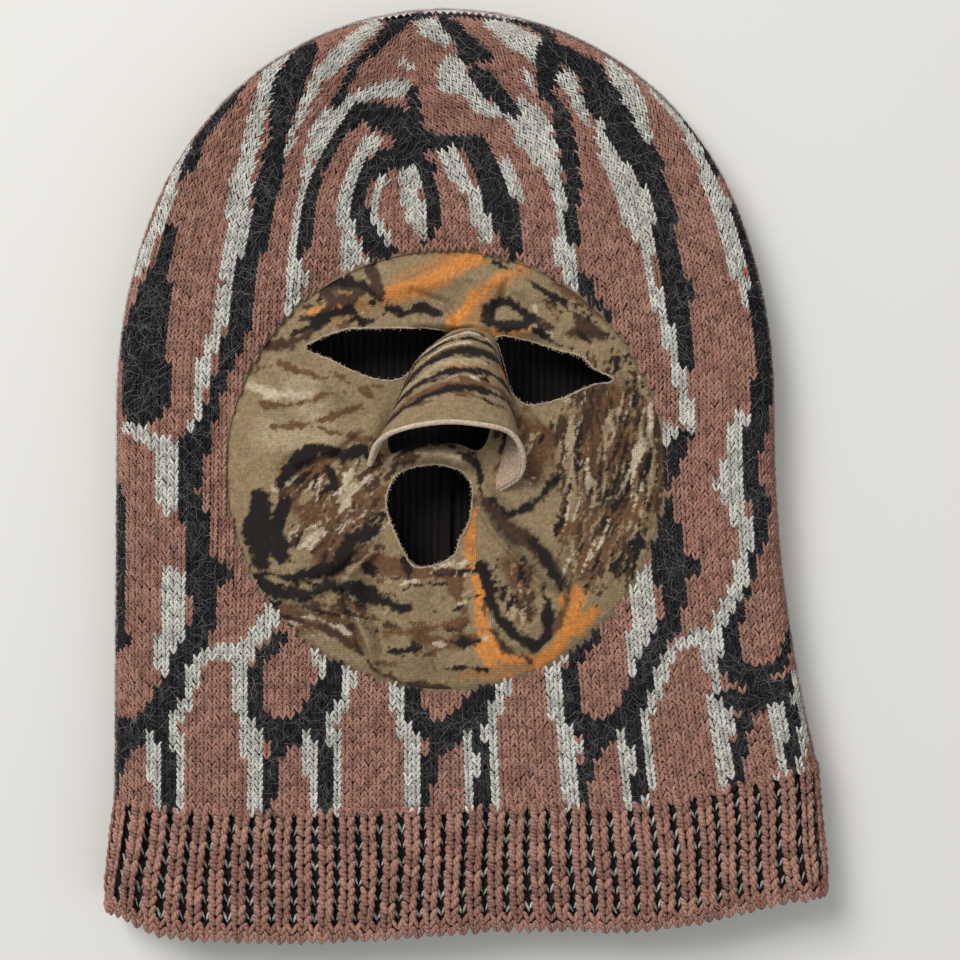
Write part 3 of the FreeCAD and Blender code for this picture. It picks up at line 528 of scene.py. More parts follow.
def yarn_group():
    """Twisted yarn: light and dark plies that wind along a leg, loose fuzz and a tone for each leg."""
    name = "Twisted Yarn"
    if name in bpy.data.node_groups:
        return bpy.data.node_groups[name]
    tree = bpy.data.node_groups.new(name, "ShaderNodeTree")
    face = tree.interface
    for socket, value in (("Dark", (0, 0, 0, 1)), ("Colour", (0.5, 0.5, 0.5, 1)),
                          ("Light", (1, 1, 1, 1))):
        face.new_socket(socket, in_out="INPUT", socket_type="NodeSocketColor").default_value = value
    for socket, value in (("Plies", 3.0), ("Fuzz Scale", 2600.0)):
        face.new_socket(socket, in_out="INPUT", socket_type="NodeSocketFloat").default_value = value
    face.new_socket("Colour", in_out="OUTPUT", socket_type="NodeSocketColor")
    face.new_socket("Height", in_out="OUTPUT", socket_type="NodeSocketFloat")
    group_in = add_node(tree, "NodeGroupInput", -900, 0)
    group_out = add_node(tree, "NodeGroupOutput", 700, 0)
    yarn = add_node(tree, "ShaderNodeAttribute", -900, 300, attribute_name="yarn")
    split = add_node(tree, "ShaderNodeSeparateXYZ", -700, 300)
    plies = add_node(tree, "ShaderNodeMath", -500, 400, operation="MULTIPLY")
    lean = add_node(tree, "ShaderNodeMath", -500, 250, operation="MULTIPLY")
    lean.inputs[1].default_value = 1.3
    winding = add_node(tree, "ShaderNodeMath", -330, 330, operation="ADD")
    turn = add_node(tree, "ShaderNodeMath", -180, 330, operation="MULTIPLY")
    turn.inputs[1].default_value = 2 * math.pi
    wave = add_node(tree, "ShaderNodeMath", -30, 330, operation="SINE")
    link(tree, yarn, "Vector", split, 0)
    link(tree, split, "Y", plies, 0)
    link(tree, group_in, "Plies", plies, 1)
    link(tree, split, "X", lean, 0)
    link(tree, plies, 0, winding, 0)
    link(tree, lean, 0, winding, 1)
    link(tree, winding, 0, turn, 0)
    link(tree, turn, 0, wave, 0)
    place = add_node(tree, "ShaderNodeTexCoord", -900, -250)
    fuzz = add_node(tree, "ShaderNodeTexNoise", -700, -250)
    fuzz.inputs["Detail"].default_value = 3
    link(tree, place, "Object", fuzz, "Vector")
    link(tree, group_in, "Fuzz Scale", fuzz, "Scale")
    ply = add_node(tree, "ShaderNodeMath", 130, 330, operation="MULTIPLY_ADD")
    ply.inputs[1].default_value = 0.20
    ply.inputs[2].default_value = 0.12
    link(tree, wave, 0, ply, 0)
    loose = add_node(tree, "ShaderNodeMath", -500, -100, operation="MULTIPLY_ADD")
    loose.inputs[1].default_value = 1.1
    link(tree, fuzz, "Fac", loose, 0)
    link(tree, ply, 0, loose, 2)
    tone = add_node(tree, "ShaderNodeMath", -330, 50, operation="MULTIPLY_ADD")
    tone.inputs[1].default_value = 0.42
    link(tree, split, "Z", tone, 0)
    link(tree, loose, 0, tone, 2)
    shade = add_node(tree, "ShaderNodeMath", -180, 0, operation="SUBTRACT")
    shade.inputs[1].default_value = 0.42
    link(tree, tone, 0, shade, 0)
    low = add_node(tree, "ShaderNodeMapRange", 0, 0)
    low.inputs["From Max"].default_value = 0.5
    high = add_node(tree, "ShaderNodeMapRange", 0, -280)
    high.inputs["From Min"].default_value = 0.5
    link(tree, shade, 0, low, "Value")
    link(tree, shade, 0, high, "Value")
    deep = add_node(tree, "ShaderNodeMix", 220, 0, data_type="RGBA")
    pale = add_node(tree, "ShaderNodeMix", 440, 0, data_type="RGBA")
    link(tree, low, "Result", deep, "Factor")
    tree.links.new(group_in.outputs["Dark"], deep.inputs[6])
    tree.links.new(group_in.outputs["Colour"], deep.inputs[7])
    link(tree, high, "Result", pale, "Factor")
    tree.links.new(deep.outputs[2], pale.inputs[6])
    tree.links.new(group_in.outputs["Light"], pale.inputs[7])
    tree.links.new(pale.outputs[2], group_out.inputs["Colour"])
    link(tree, loose, 0, group_out, "Height")
    return tree


def yarn_material(name, dark, colour, light, plies=3.0, sheen=0.25):
    """A yarn's finish, from its three colours."""
    if name in bpy.data.materials:
        return bpy.data.materials[name]
    material, tree, shader = start_material(name, 0.95, sheen)
    group = add_node(tree, "ShaderNodeGroup", -500, 100, node_tree=yarn_group())
    group.inputs["Dark"].default_value = (*dark, 1)
    group.inputs["Colour"].default_value = (*colour, 1)
    group.inputs["Light"].default_value = (*light, 1)
    group.inputs["Plies"].default_value = plies
    bump = add_node(tree, "ShaderNodeBump", -220, -200)
    bump.inputs["Strength"].default_value = 0.7
    bump.inputs["Distance"].default_value = 0.0004
    link(tree, group, "Colour", shader, "Base Color")
    link(tree, group, "Height", bump, "Height")
    link(tree, bump, "Normal", shader, "Normal")
    return material


YARNS = {
    "mauve": ((0.100, 0.042, 0.030), (0.305, 0.147, 0.108), (0.50, 0.285, 0.215)),
    "grey": ((0.17, 0.17, 0.15), (0.50, 0.49, 0.44), (0.80, 0.78, 0.71)),
    "black": ((0.003, 0.003, 0.004), (0.012, 0.012, 0.015), (0.05, 0.048, 0.05)),
}


def knit_yarn(colour):
    """The finish of one of the knit's three yarns, with its shades following its set colour."""
    dark, middle, light = (np.array(shade) for shade in YARNS[colour])
    chosen = np.array(getattr(bpy.context.scene.mask_knit, colour))
    change = chosen / middle
    return yarn_material("Yarn " + colour, dark * change, chosen, light * change,
                         sheen=0.02 if colour == "black" else 0.1)


def shaded_inside_material():
    """The knit's inside, painted near black as shade, with the ridges of its floats."""
    name = "Knit Inside"
    if name in bpy.data.materials:
        return bpy.data.materials[name]
    material, tree, shader = start_material(name, 0.95, 0.1)
    place = add_node(tree, "ShaderNodeTexCoord", -900, 0)
    ridges = add_node(tree, "ShaderNodeTexWave", -650, 150, bands_direction="X")
    ridges.inputs["Scale"].default_value = 114
    ridges.inputs["Distortion"].default_value = 1.2
    spots = add_node(tree, "ShaderNodeTexNoise", -650, -150)
    spots.inputs["Scale"].default_value = 420
    link(tree, place, "Object", ridges, "Vector")
    link(tree, place, "Object", spots, "Vector")
    both = add_node(tree, "ShaderNodeMath", -430, 0, operation="MULTIPLY")
    link(tree, ridges, "Fac", both, 0)
    link(tree, spots, "Fac", both, 1)
    ramp = add_node(tree, "ShaderNodeValToRGB", -250, 100)
    # Painted shade: a near-black ramp for the knit's inside and the cloth seen between its stitches.
    ramp.color_ramp.elements[0].color = (0.004, 0.003, 0.003, 1)
    ramp.color_ramp.elements[1].color = (0.016, 0.012, 0.012, 1)
    ramp.color_ramp.elements[1].position = 0.6
    link(tree, both, 0, ramp, "Fac")
    link(tree, ramp, "Color", shader, "Base Color")
    bump = add_node(tree, "ShaderNodeBump", -220, -250)
    bump.inputs["Distance"].default_value = 0.0008
    link(tree, both, 0, bump, "Height")
    link(tree, bump, "Normal", shader, "Normal")
    return material


def fit_grid(columns, rows, place):
    """A grid whose points are put by a function of two shares from 0 to 1."""
    grid = bmesh.new()
    bmesh.ops.create_grid(grid, x_segments=columns, y_segments=rows, size=0.5)
    for point in grid.verts:
        point.co = place(min(max(point.co.x + 0.5, 0), 1), min(max(point.co.y + 0.5, 0), 1))
    return grid


def leaf_row(share):
    """The height of a row of the hood's cloth, closer together towards the crown."""
    return SEAM_Y + (TOP_Y - 0.0001 - SEAM_Y) * math.sin(share * math.pi / 2)


def cloth_mesh(name, grids, hole=None):
    """One closed wall of cloth from several grids that meet at their edges."""
    whole = bmesh.new()
    for grid in grids:
        part = bpy.data.meshes.new("part")
        grid.to_mesh(part)
        grid.free()
        whole.from_mesh(part)
        bpy.data.meshes.remove(part)
    bmesh.ops.remove_doubles(whole, verts=whole.verts, dist=0.0003)
    if hole:
        gone = [f for f in whole.faces if hole(f.calc_center_median())]
        bmesh.ops.delete(whole, geom=gone, context="FACES")
    bmesh.ops.recalc_face_normals(whole, faces=whole.faces)
    mesh = bpy.data.meshes.new(name)
    whole.to_mesh(mesh)
    whole.free()
    mesh.shade_smooth()
    return mesh


def give_wall(piece, thickness):
    """Gives a cloth its thickness, on its inner side."""
    wall = piece.modifiers.new("Cloth Wall", "SOLIDIFY")
    wall.thickness = thickness
    wall.offset = -1
    return piece


def leaf_place(front, low, high, sunk):
    """Where a leaf's cloth lies, between two heights, sunk below its stitches."""
    def place(share_x, share_y):
        """One point of the leaf."""
        y = low(share_y) if callable(low) else low + (high - low) * share_y
        point, out = knit_point(across(y, share_x), y, front)
        reach = math.hypot(point.x - FACE_X, point.y - FACE_Y)
        hollow = 0.0032 * smooth((FACE_R + 0.004 - reach) / 0.004) if front else 0
        return point - out * (sunk + hollow)
    return place


def make_hood_cloth():
    """The cloth behind the hood's stitches, near black as painted shade between them."""
    grids = [fit_grid(150, 130, leaf_place(front, leaf_row, None, 0.0009)) for front in (True, False)]
    mesh = cloth_mesh("hood_cloth", grids, lambda p: (
        p.z > THICK / 2 and math.hypot(p.x - FACE_X, p.y - FACE_Y) < FACE_R - 0.003))
    return give_wall(place_piece(mesh, shaded_inside_material()), 0.0014)


def make_hood_stitches(knit):
    """The hood's stitches, one piece for each half and yarn."""
    pieces = []
    for (half, yarn), (places, tones) in sorted(hood_stitches(knit).items()):
        limit = 8000
        for start in range(0, len(places), limit):
            part = "" if len(places) <= limit else "_" + "ab"[start // limit]
            mesh = repeat_shape(f"{half}_{yarn}{part}", stitch_leg(), places[start:start + limit],
                                tones[start:start + limit])
            pieces.append(place_piece(mesh, knit_yarn(yarn)))
    return pieces


# Each kind of rib: how high it sits on the cloth, its width and its depth.
RAISED_RIB = (0.0002, 0.0053, 0.0017)
SUNKEN_RIB = (-0.0022, 0.0026, 0.0012)
HEM_RIB = (-0.0006, 0.0040, 0.0020)


def make_neck_rib(knit):
    """The neck's ribbed band: raised columns of mauve, and narrow black and grey ones between."""
    chance = random.Random(11)
    stores = {}
    for front in (True, False):
        rows = int((SEAM_Y - EDGE_Y) / knit.rib_pitch)
        for rib in range(knit.rib_count * 2):
            raised = rib % 2 == (0 if front else 1)
            share = (rib + 0.5) / (knit.rib_count * 2) + chance.uniform(-0.0004, 0.0004)
            for row in range(rows + 1):
                y = SEAM_Y + 0.0004 - row * (SEAM_Y - EDGE_Y) / rows
                wander = 0.0005 * math.sin(row * 0.35 + rib * 0.21) / 0.26
                x = across(y, share + wander)
                point, out = knit_point(x, y, front)
                above, _ = knit_point(across(y + 0.0005, share + wander), y + 0.0005, front)
                line = (above - point).normalized()
                hem = row > rows - 2
                yarn = "mauve" if raised or hem else ("black" if row % 2 else "grey")
                height, width, deep = HEM_RIB if hem else RAISED_RIB if raised else SUNKEN_RIB
                legs = leg_places(point + out * height, line, out, width, knit.rib_pitch, deep,
                                  chance, slant=0.42, reach=1.8)
                name = "rib_" + ("front_" if front else "back_") + yarn
                store = stores.setdefault((name, yarn), ([], []))
                tone = chance.uniform(0, 1)
                store[0].extend(legs)
                store[1].extend((tone, tone))
    pieces = []
    for (name, yarn), (places, tones) in sorted(stores.items()):
        mesh = repeat_shape(name, stitch_leg(), places, tones)
        pieces.append(place_piece(mesh, knit_yarn(yarn)))
    return pieces


def make_rib_cloth():
    """The cloth behind the ribs, near black as painted shade between them."""
    grids = [fit_grid(120, 14, leaf_place(front, EDGE_Y + 0.0008, SEAM_Y + 0.001, 0.0020))
             for front in (True, False)]
    mesh = cloth_mesh("rib_cloth", grids)
    return give_wall(place_piece(mesh, shaded_inside_material()), 0.0012)


# The printed cloth's colours, and its strokes: a colour, a softness, then points of x, y and
# width in millimetres.
PRINT = {
    "khaki": (0.245, 0.178, 0.098),
    "pale": (0.34, 0.262, 0.160),
    "white": (0.46, 0.385, 0.27),
    "orange": (0.54, 0.205, 0.048),
    "amber": (0.33, 0.165, 0.065),
    "brown": (0.125, 0.062, 0.030),
    "umber": (0.055, 0.030, 0.018),
    "dark": (0.014, 0.010, 0.009),
}
PRINT_STROKES = (
    ("pale", 9, (-70, 12, 12), (-50, 10, 8), (-60, 28, 12)),
    ("dark", 1.2, (-26, 3, 2), (-20, 8, 3), (-12, 9, 3.4), (-5, 8, 2)),
    ("umber", 1.2, (-29, -4, 2), (-25, 2, 3), (-17, 4, 2)),
    ("dark", 1.2, (-6, 3.5, 2), (0, 3.5, 3), (4, -1, 3), (4, -8, 2)),
    ("pale", 1.2, (-17, 5.5, 2.2), (-8, 5.5, 2.4), (-2, 1, 1.6)),
    ("orange", 3, (33, -46, 5), (38, -56, 6), (44, -50, 4)),
    ("orange", 3, (2, -60, 4), (8, -70, 5), (16, -74, 3)),
    ("amber", 6, (-48, 56, 9), (-38, 57, 8)),
    ("amber", 5, (-30, 60, 8), (-14, 68, 12), (4, 78, 10)),
    ("orange", 4, (-29, 61, 4), (-15, 65, 6), (-3, 72, 6), (8, 79, 5)),
    ("orange", 4, (-6, 50, 5), (2, 60, 5), (13, 68, 4), (24, 73, 3)),
    ("amber", 4, (0, 50, 4), (8, 61, 3), (20, 70, 3)),
    ("orange", 3, (-55, 55, 3), (-47, 56, 3), (-42, 61, 3)),
    ("orange", 2, (2, 48, 2.5), (13, 46.5, 3), (21, 49, 2)),
    ("umber", 2, (-51, 64, 5), (-44, 66, 5), (-38, 62, 5), (-42, 58, 5), (-49, 60, 4)),
    ("dark", 1.5, (-50, 66, 2), (-44, 66, 3.5), (-37, 64, 3.5), (-32, 60, 3)),
    ("dark", 1.5, (-62, 47, 3), (-55, 50, 3), (-48, 54, 3), (-41, 55.5, 4), (-38, 51, 3)),
    ("umber", 2, (-72, 43, 5), (-63, 44, 4), (-57, 47, 4)),
    ("dark", 1.2, (-29, 56, 1.5), (-23, 54.5, 3), (-16, 56.5, 4), (-11, 53.5, 3)),
    ("umber", 2, (-36, 73, 4), (-33, 66, 5), (-31, 61, 3)),
    ("dark", 1.5, (7, 56, 4), (11, 59, 4.5), (17, 57, 3.5), (22, 53, 3.5), (19, 50, 4),
     (12, 50, 3.5), (7, 51, 4), (7, 56, 4)),
    ("dark", 1.2, (9, 73, 1.6), (13, 71, 2.2), (18, 69.5, 1.6)),
    ("dark", 1.2, (21, 66, 1.6), (28, 61, 2), (35, 58, 2.2), (42, 54, 1.6)),
    ("brown", 3, (30, 66, 3), (41, 60, 5), (50, 53, 5)),
    ("umber", 3, (34, 47, 4), (41, 49, 6), (47, 47, 4)),
    ("dark", 1.2, (23, 48, 1.6), (30, 44, 2.2), (36, 42, 1.5)),
    ("brown", 1.0, (-75, 35, 1.6), (-66, 36.5, 2.6), (-56, 33, 2.2), (-50, 31, 1.4)),
    ("brown", 1.0, (-69, 14.5, 1.4), (-57, 15.5, 2.8), (-46, 18.5, 2.2), (-38, 22, 1.4)),
    ("brown", 1.0, (-56, 15, 1.4), (-45, 12, 2.4), (-33, 9, 2.8)),
    ("brown", 1.0, (-73, 22, 1.4), (-62, 22, 2), (-50, 26, 2.2), (-42, 27, 1.8), (-31, 29, 2)),
    ("brown", 1.0, (-52, 36, 1), (-43, 30, 1.6), (-35, 25, 1.4)),
    ("white", 2.0, (-79, 29, 1.5), (-68, 26, 3), (-56, 25, 2)),
    ("brown", 5, (-62, 0, 10), (-52, -8, 28), (-43, -20, 24), (-48, -32, 14)),
    ("dark", 2, (-73, -11, 7), (-75, -22, 11), (-73, -33, 7)),
    ("dark", 2, (-64, -12, 5), (-68, -22, 7), (-66, -31, 7)),
    ("dark", 2, (-66, -6, 2), (-60, 3, 6), (-53, 7, 4), (-44, 4, 5), (-38, 6, 5)),
    ("dark", 1.5, (-50, 0, 3), (-47, -6, 3), (-52, -9, 2)),
    ("umber", 3, (-40, -3, 4), (-33, -10, 4), (-34, -20, 5)),
    ("dark", 2, (-72, -37, 3), (-62, -39, 3), (-52, -36, 3), (-45, -35, 6), (-42, -26, 6),
     (-33, -22, 4)),
    ("dark", 2, (-74, -40, 6), (-67, -44, 5), (-58, -45, 4), (-50, -42, 4), (-40, -42, 6),
     (-33, -46, 6), (-24, -49, 4), (-19, -49.5, 2)),
    ("brown", 4, (-69, -48, 5), (-58, -54, 10), (-48, -53, 8), (-40, -60, 7)),
    ("umber", 1.5, (-60, -49, 1.5), (-52, -48, 2), (-44, -49, 1.5)),
    ("umber", 1.5, (-62, -53, 1.2), (-50, -57, 2), (-40, -63, 1.5), (-33, -71, 2)),
    ("pale", 3, (-41, -44, 3), (-38, -52, 5), (-34, -60, 3)),
    ("brown", 3, (-34, -33, 7), (-25, -35, 7), (-14, -37, 6), (-4, -37, 6)),
    ("brown", 3, (-5, -43, 6), (-2, -50, 4)),
    ("dark", 1.5, (-36, -34, 3), (-34, -37, 2)),
    ("dark", 1.5, (-23, -33, 3), (-21, -37, 2)),
    ("brown", 2, (-30, -58, 2), (-16, -57, 2.5), (-1, -53, 2)),
    ("brown", 3, (-18, -60, 4), (-8, -62, 4), (2, -60, 4)),
    ("dark", 1.0, (-32, -64, 1), (-25, -64.5, 1.8), (-17, -63, 1.4)),
    ("dark", 1.0, (-8, -61, 1), (-1, -62, 1.8), (4, -61, 1)),
    ("dark", 1.0, (-9, -71, 1), (0, -70, 2), (6, -71, 1.5)),
    ("umber", 2, (-32, -72, 2), (-22, -76, 2.5), (-8, -78, 2)),
    ("brown", 5, (14, -34, 8), (20, -44, 8), (19, -52, 6)),
    ("orange", 3, (2, -15, 2), (0, -26, 4), (1, -36, 4), (4, -46, 5), (4, -54, 5), (8, -62, 5),
     (15, -68, 5), (24, -69, 6), (32, -62, 6), (36, -52, 8), (38, -44, 7)),
    ("amber", 3, (-2, -73, 3), (8, -72, 4), (20, -70, 3)),
    ("umber", 2, (8, -57, 1.5), (13, -64, 2), (22, -68, 1.5)),
    ("dark", 1.5, (4, -34, 3), (7, -43, 4), (10, -52, 4), (16, -59, 4), (23, -63, 5),
     (28, -59, 4), (28, -50, 5), (26, -42, 3)),
    ("brown", 2, (30, -58, 2), (34, -48, 3), (36, -38, 2)),
    ("umber", 3, (6, -12, 4), (12, -20, 6), (20, -26, 6), (28, -33, 6), (33, -40, 4)),
    ("dark", 2, (8, -11, 3), (14, -17, 3), (24, -12, 3), (30, -4, 3)),
    ("dark", 2, (22, -26, 4), (28, -34, 4), (32, -42, 3)),
    ("brown", 6, (18, 14, 8), (26, 10, 12), (22, -2, 8)),
    ("brown", 6, (48, 22, 20), (50, -10, 24), (42, -34, 16)),
    ("khaki", 4, (28, 18, 5), (35, 22, 6)),
    ("khaki", 3, (44, -42, 5), (50, -34, 4)),
)

# Bark: a middle, a spread, a slope, a count and a length, all in millimetres and degrees.
BARK = (
    (50, 0, 18, 30, 78, 230, 26),
    (46, -28, 14, 14, 68, 70, 18),
    (-48, -14, 17, 18, 42, 190, 12),
    (-54, -50, 18, 9, -18, 60, 12),
    (18, 3, 8, 10, 60, 24, 5),
    (15, -42, 9, 11, 75, 50, 9),
    (-14, -42, 18, 9, 10, 50, 8),
    (-14, -62, 20, 8, 5, 16, 7),
    (-44, 57, 14, 6, 20, 26, 7),
    (34, 52, 14, 6, -35, 30, 8),
)
# Folds of the face's cloth: a height, a spread, then points of x, y in millimetres.
CLOTH_FOLDS = (
    (2.6, 3.0, (-18, 51), (0, 50.5), (22, 48)),
    (2.2, 2.6, (-42, -42), (-40, -50), (-36, -60), (-33, -70)),
    (-1.2, 3.0, (-36, -42), (-34, -52), (-30, -62)),
    (2.8, 4.0, (5, -8), (12, -20), (22, -30), (31, -40)),
    (-1.2, 3.0, (0, -22), (8, -34), (14, -44)),
    (1.5, 5.0, (-48, 30), (-32, 20), (-36, 8)),
    (1.4, 2.2, (52, 32), (60, 16), (64, -4), (62, -20)),
    (1.3, 2.2, (46, 28), (51, 10), (52, -8)),
    (1.2, 2.4, (38, 24), (42, 6), (40, -14)),
    (-1.0, 2.0, (56, 26), (57, 6), (57, -14)),
    (3.2, 3.2, (-25, 2.5), (-12, 4.5), (1, 2.5)),
    (1.4, 5.0, (-70, -8), (-50, -30), (-40, -34)),
    (1.0, 5.0, (-62, -46), (-36, -54)),
    (1.8, 8.0, (-22, -46), (-18, -64)),
    (1.0, 4.0, (20, -56), (30, -50)),
    (1.6, 5.0, (-60, 56), (-30, 62), (0, 70), (30, 62)),
    (-1.6, 1.3, (-44, -44), (-41, -54), (-37, -66)),
    (-1.6, 1.4, (2, -12), (10, -24), (20, -35), (27, -43)),
    (-1.4, 1.3, (-20, 47), (-8, 47.5), (0, 48)),
    (-1.2, 1.3, (-38, 12), (-48, 4), (-60, 0)),
    (-1.2, 1.3, (-36, -28), (-48, -38), (-62, -42)),
    (1.2, 1.6, (-34, -30), (-46, -41), (-60, -46)),
    (-1.2, 1.2, (42, 30), (48, 12), (47, -10)),
    (-1.2, 1.2, (60, 30), (64, 10), (63, -12)),
    (-1.0, 1.3, (20, 20), (30, 8), (32, -8)),
    (-1.0, 1.4, (-20, 62), (-8, 58), (-4, 51)),
    (-1.0, 1.4, (14, 66), (10, 58), (9, 50)),
    (-0.9, 1.3, (-24, -52), (-14, -62), (-10, -74)),
    (-0.9, 1.3, (8, -52), (14, -64), (24, -68)),
)
LEFT_EYE = ((-58, 42), (-52, 46), (-42, 49), (-28, 49.3), (-8, 48.3), (-9, 44), (-16, 38),
            (-24, 31.5), (-32, 31), (-41, 34), (-50, 38.5))
RIGHT_EYE = ((9, 45.5), (20, 45), (30, 42), (39, 39.5), (44, 35), (51, 31), (42, 28.5), (33, 24.5),
             (22, 22), (16, 25), (12, 33))
MOUTH = ((-22, -0.5), (-12, 1.2), (-3, -1), (0.5, -5), (1.2, -11), (0, -19), (-3.5, -26),
         (-5, -30.5), (-11, -34), (-19, -34.8), (-23.5, -29), (-27, -21), (-29.4, -13), (-27.5, -5))
NOSTRILS = ((-27, 5), (-20, 8), (-5, 8.5), (3, 6), (7, 12), (8, 25), (5, 38), (-7, 39),
            (-19, 25), (-28, 12))


def closed_curve(points, steps=12):
    """A smooth closed line through a few points, in millimetres."""
    points = np.array(points, float)
    before, after = np.roll(points, 1, 0), np.roll(points, -1, 0)
    beyond = np.roll(points, -2, 0)
    line = []
    for step in range(steps):
        t = step / steps
        line.append(0.5 * (2 * points + (after - before) * t
                           + (2 * before - 5 * points + 4 * after - beyond) * t ** 2
                           + (3 * points - before - 3 * after + beyond) * t ** 3))
    return np.stack(line, 1).reshape(-1, points.shape[1])


def run_gap(x, y, points):
    """How far places lie outside a streak's edge, below zero inside it."""
    best = np.full(x.shape, 1e9)
    for start, end in zip(points, points[1:]):
        dx, dy = end[0] - start[0], end[1] - start[1]
        part = np.clip(((x - start[0]) * dx + (y - start[1]) * dy) / (dx * dx + dy * dy), 0, 1)
        gap = np.hypot(x - start[0] - dx * part, y - start[1] - dy * part)
        if len(start) > 2:
            gap = gap - (start[2] + (end[2] - start[2]) * part) / 2
        best = np.minimum(best, gap)
    return best


def cloth_height(x, y):
    """The height of the face's cloth over places in millimetres."""
    reach = np.hypot(x - FACE_X * 1000, y - FACE_Y * 1000)
    rise = np.clip((FACE_R * 1000 - reach) / 12, 0, 1)
    z = CLOTH_Z * 1000 - 1.9 + 2.6 * rise * rise * (3 - 2 * rise)
    for height, spread, *points in CLOTH_FOLDS:
        gap = run_gap(x, y, points)
        z = z + 2.1 * height * np.exp(-(gap / spread) ** 2) * rise
    z = z + 0.35 * np.sin(x * 0.21 + y * 0.13) * rise + 0.25 * np.sin(y * 0.33 - x * 0.1) * rise
    return z


def ragged(x, y, size, reach, seed):
    """Noise over places in millimetres."""
    return np.array([noise.noise(Vector((a * size, b * size, seed))) for a, b in zip(x, y)]) * reach


def print_colour(name):
    """One of the print's set colours."""
    return np.array(getattr(bpy.context.scene.mask_cloth, name))


def paint(x, y, base, strokes, rough=1.5):
    """Colours laid over places in soft-edged, ragged strokes."""
    colours = np.tile(print_colour(base), (len(x), 1))
    wide = (ragged(x, y, 0.16, rough, 1.5) + ragged(x, y, 0.6, rough * 0.8, 4.5)
            + ragged(x, y, 1.9, rough * 0.5, 6.5))
    for colour, soft, *points in strokes:
        gap = run_gap(x, y, points) + wide
        cover = np.clip(0.5 - gap / (0.6 * soft), 0, 1)[:, None]
        colours = colours * (1 - cover) + print_colour(colour) * cover
    mottle = 1 + ragged(x, y, 0.9, 0.30, 8.5) + ragged(x, y, 2.3, 0.28, 9.5)
    return colours * mottle[:, None]


def bark_strokes(chance, patches):
    """Short leaning strokes of bark, scattered over patches."""
    strokes = []
    for x, y, wide, high, slope, count, length in patches:
        for _ in range(count):
            colour = chance.choice(("umber", "brown", "dark", "pale", "umber", "khaki", "brown",
                                    "dark", "white"))
            angle = math.radians(slope + chance.uniform(-14, 14))
            cx, cy = x + chance.uniform(-wide, wide), y + chance.uniform(-high, high)
            dx = math.cos(angle) * length * chance.uniform(0.3, 0.6)
            dy = math.sin(angle) * length * chance.uniform(0.3, 0.6)
            bow = chance.uniform(-1.5, 1.5)
            thick = chance.uniform(0.8, 2.8)
            strokes.append((colour, 0.8, (cx - dx, cy - dy, 0.2), (cx + bow, cy, thick),
                            (cx + dx, cy + dy, 0.2)))
    return strokes


def lies_in(x, y, outline):
    """Whether places lie in a closed outline."""
    found = np.zeros(x.shape, bool)
    for (ax, ay), (bx, by) in zip(outline, np.roll(outline, -1, 0)):
        if ay == by:
            continue
        crossing = ((ay > y) != (by > y)) & (x < (bx - ax) * (y - ay) / (by - ay) + ax)
        found ^= crossing
    return found


def nearest_on(x, y, outline):
    """The nearest point of a closed outline to each place."""
    best = np.full(x.shape, 1e9)
    near_x, near_y = x.copy(), y.copy()
    for (ax, ay), (bx, by) in zip(outline, np.roll(outline, -1, 0)):
        dx, dy = bx - ax, by - ay
        size = max(dx * dx + dy * dy, 1e-9)
        part = np.clip(((x - ax) * dx + (y - ay) * dy) / size, 0, 1)
        px, py = ax + dx * part, ay + dy * part
        gap = np.hypot(x - px, y - py)
        closer = gap < best
        best[closer], near_x[closer], near_y[closer] = gap[closer], px[closer], py[closer]
    return best, near_x, near_y


def write_colours(mesh, colours):
    """Stores the print's colours on a mesh's points."""
    layer = mesh.attributes.new("print", "FLOAT_COLOR", "POINT")
    values = np.ones((len(mesh.vertices), 4), np.float32)
    values[:, :3] = colours
    layer.data.foreach_set("color", values.ravel())


def cut_cloth(x, y, rim, holes):
    """Draws the places that are cut away onto the nearest edge, and says which are kept."""
    kept = lies_in(x, y, rim)
    for outline in holes:
        kept &= ~lies_in(x, y, outline)
    gone = np.flatnonzero(~kept)
    from_x, from_y = x[gone], y[gone]
    best = np.full(len(gone), 1e9)
    for outline in (rim, *holes):
        gap, near_x, near_y = nearest_on(from_x, from_y, outline)
        closer = gap < best
        best[closer] = gap[closer]
        spots = gone[closer]
        x[spots], y[spots] = near_x[closer], near_y[closer]
    return kept


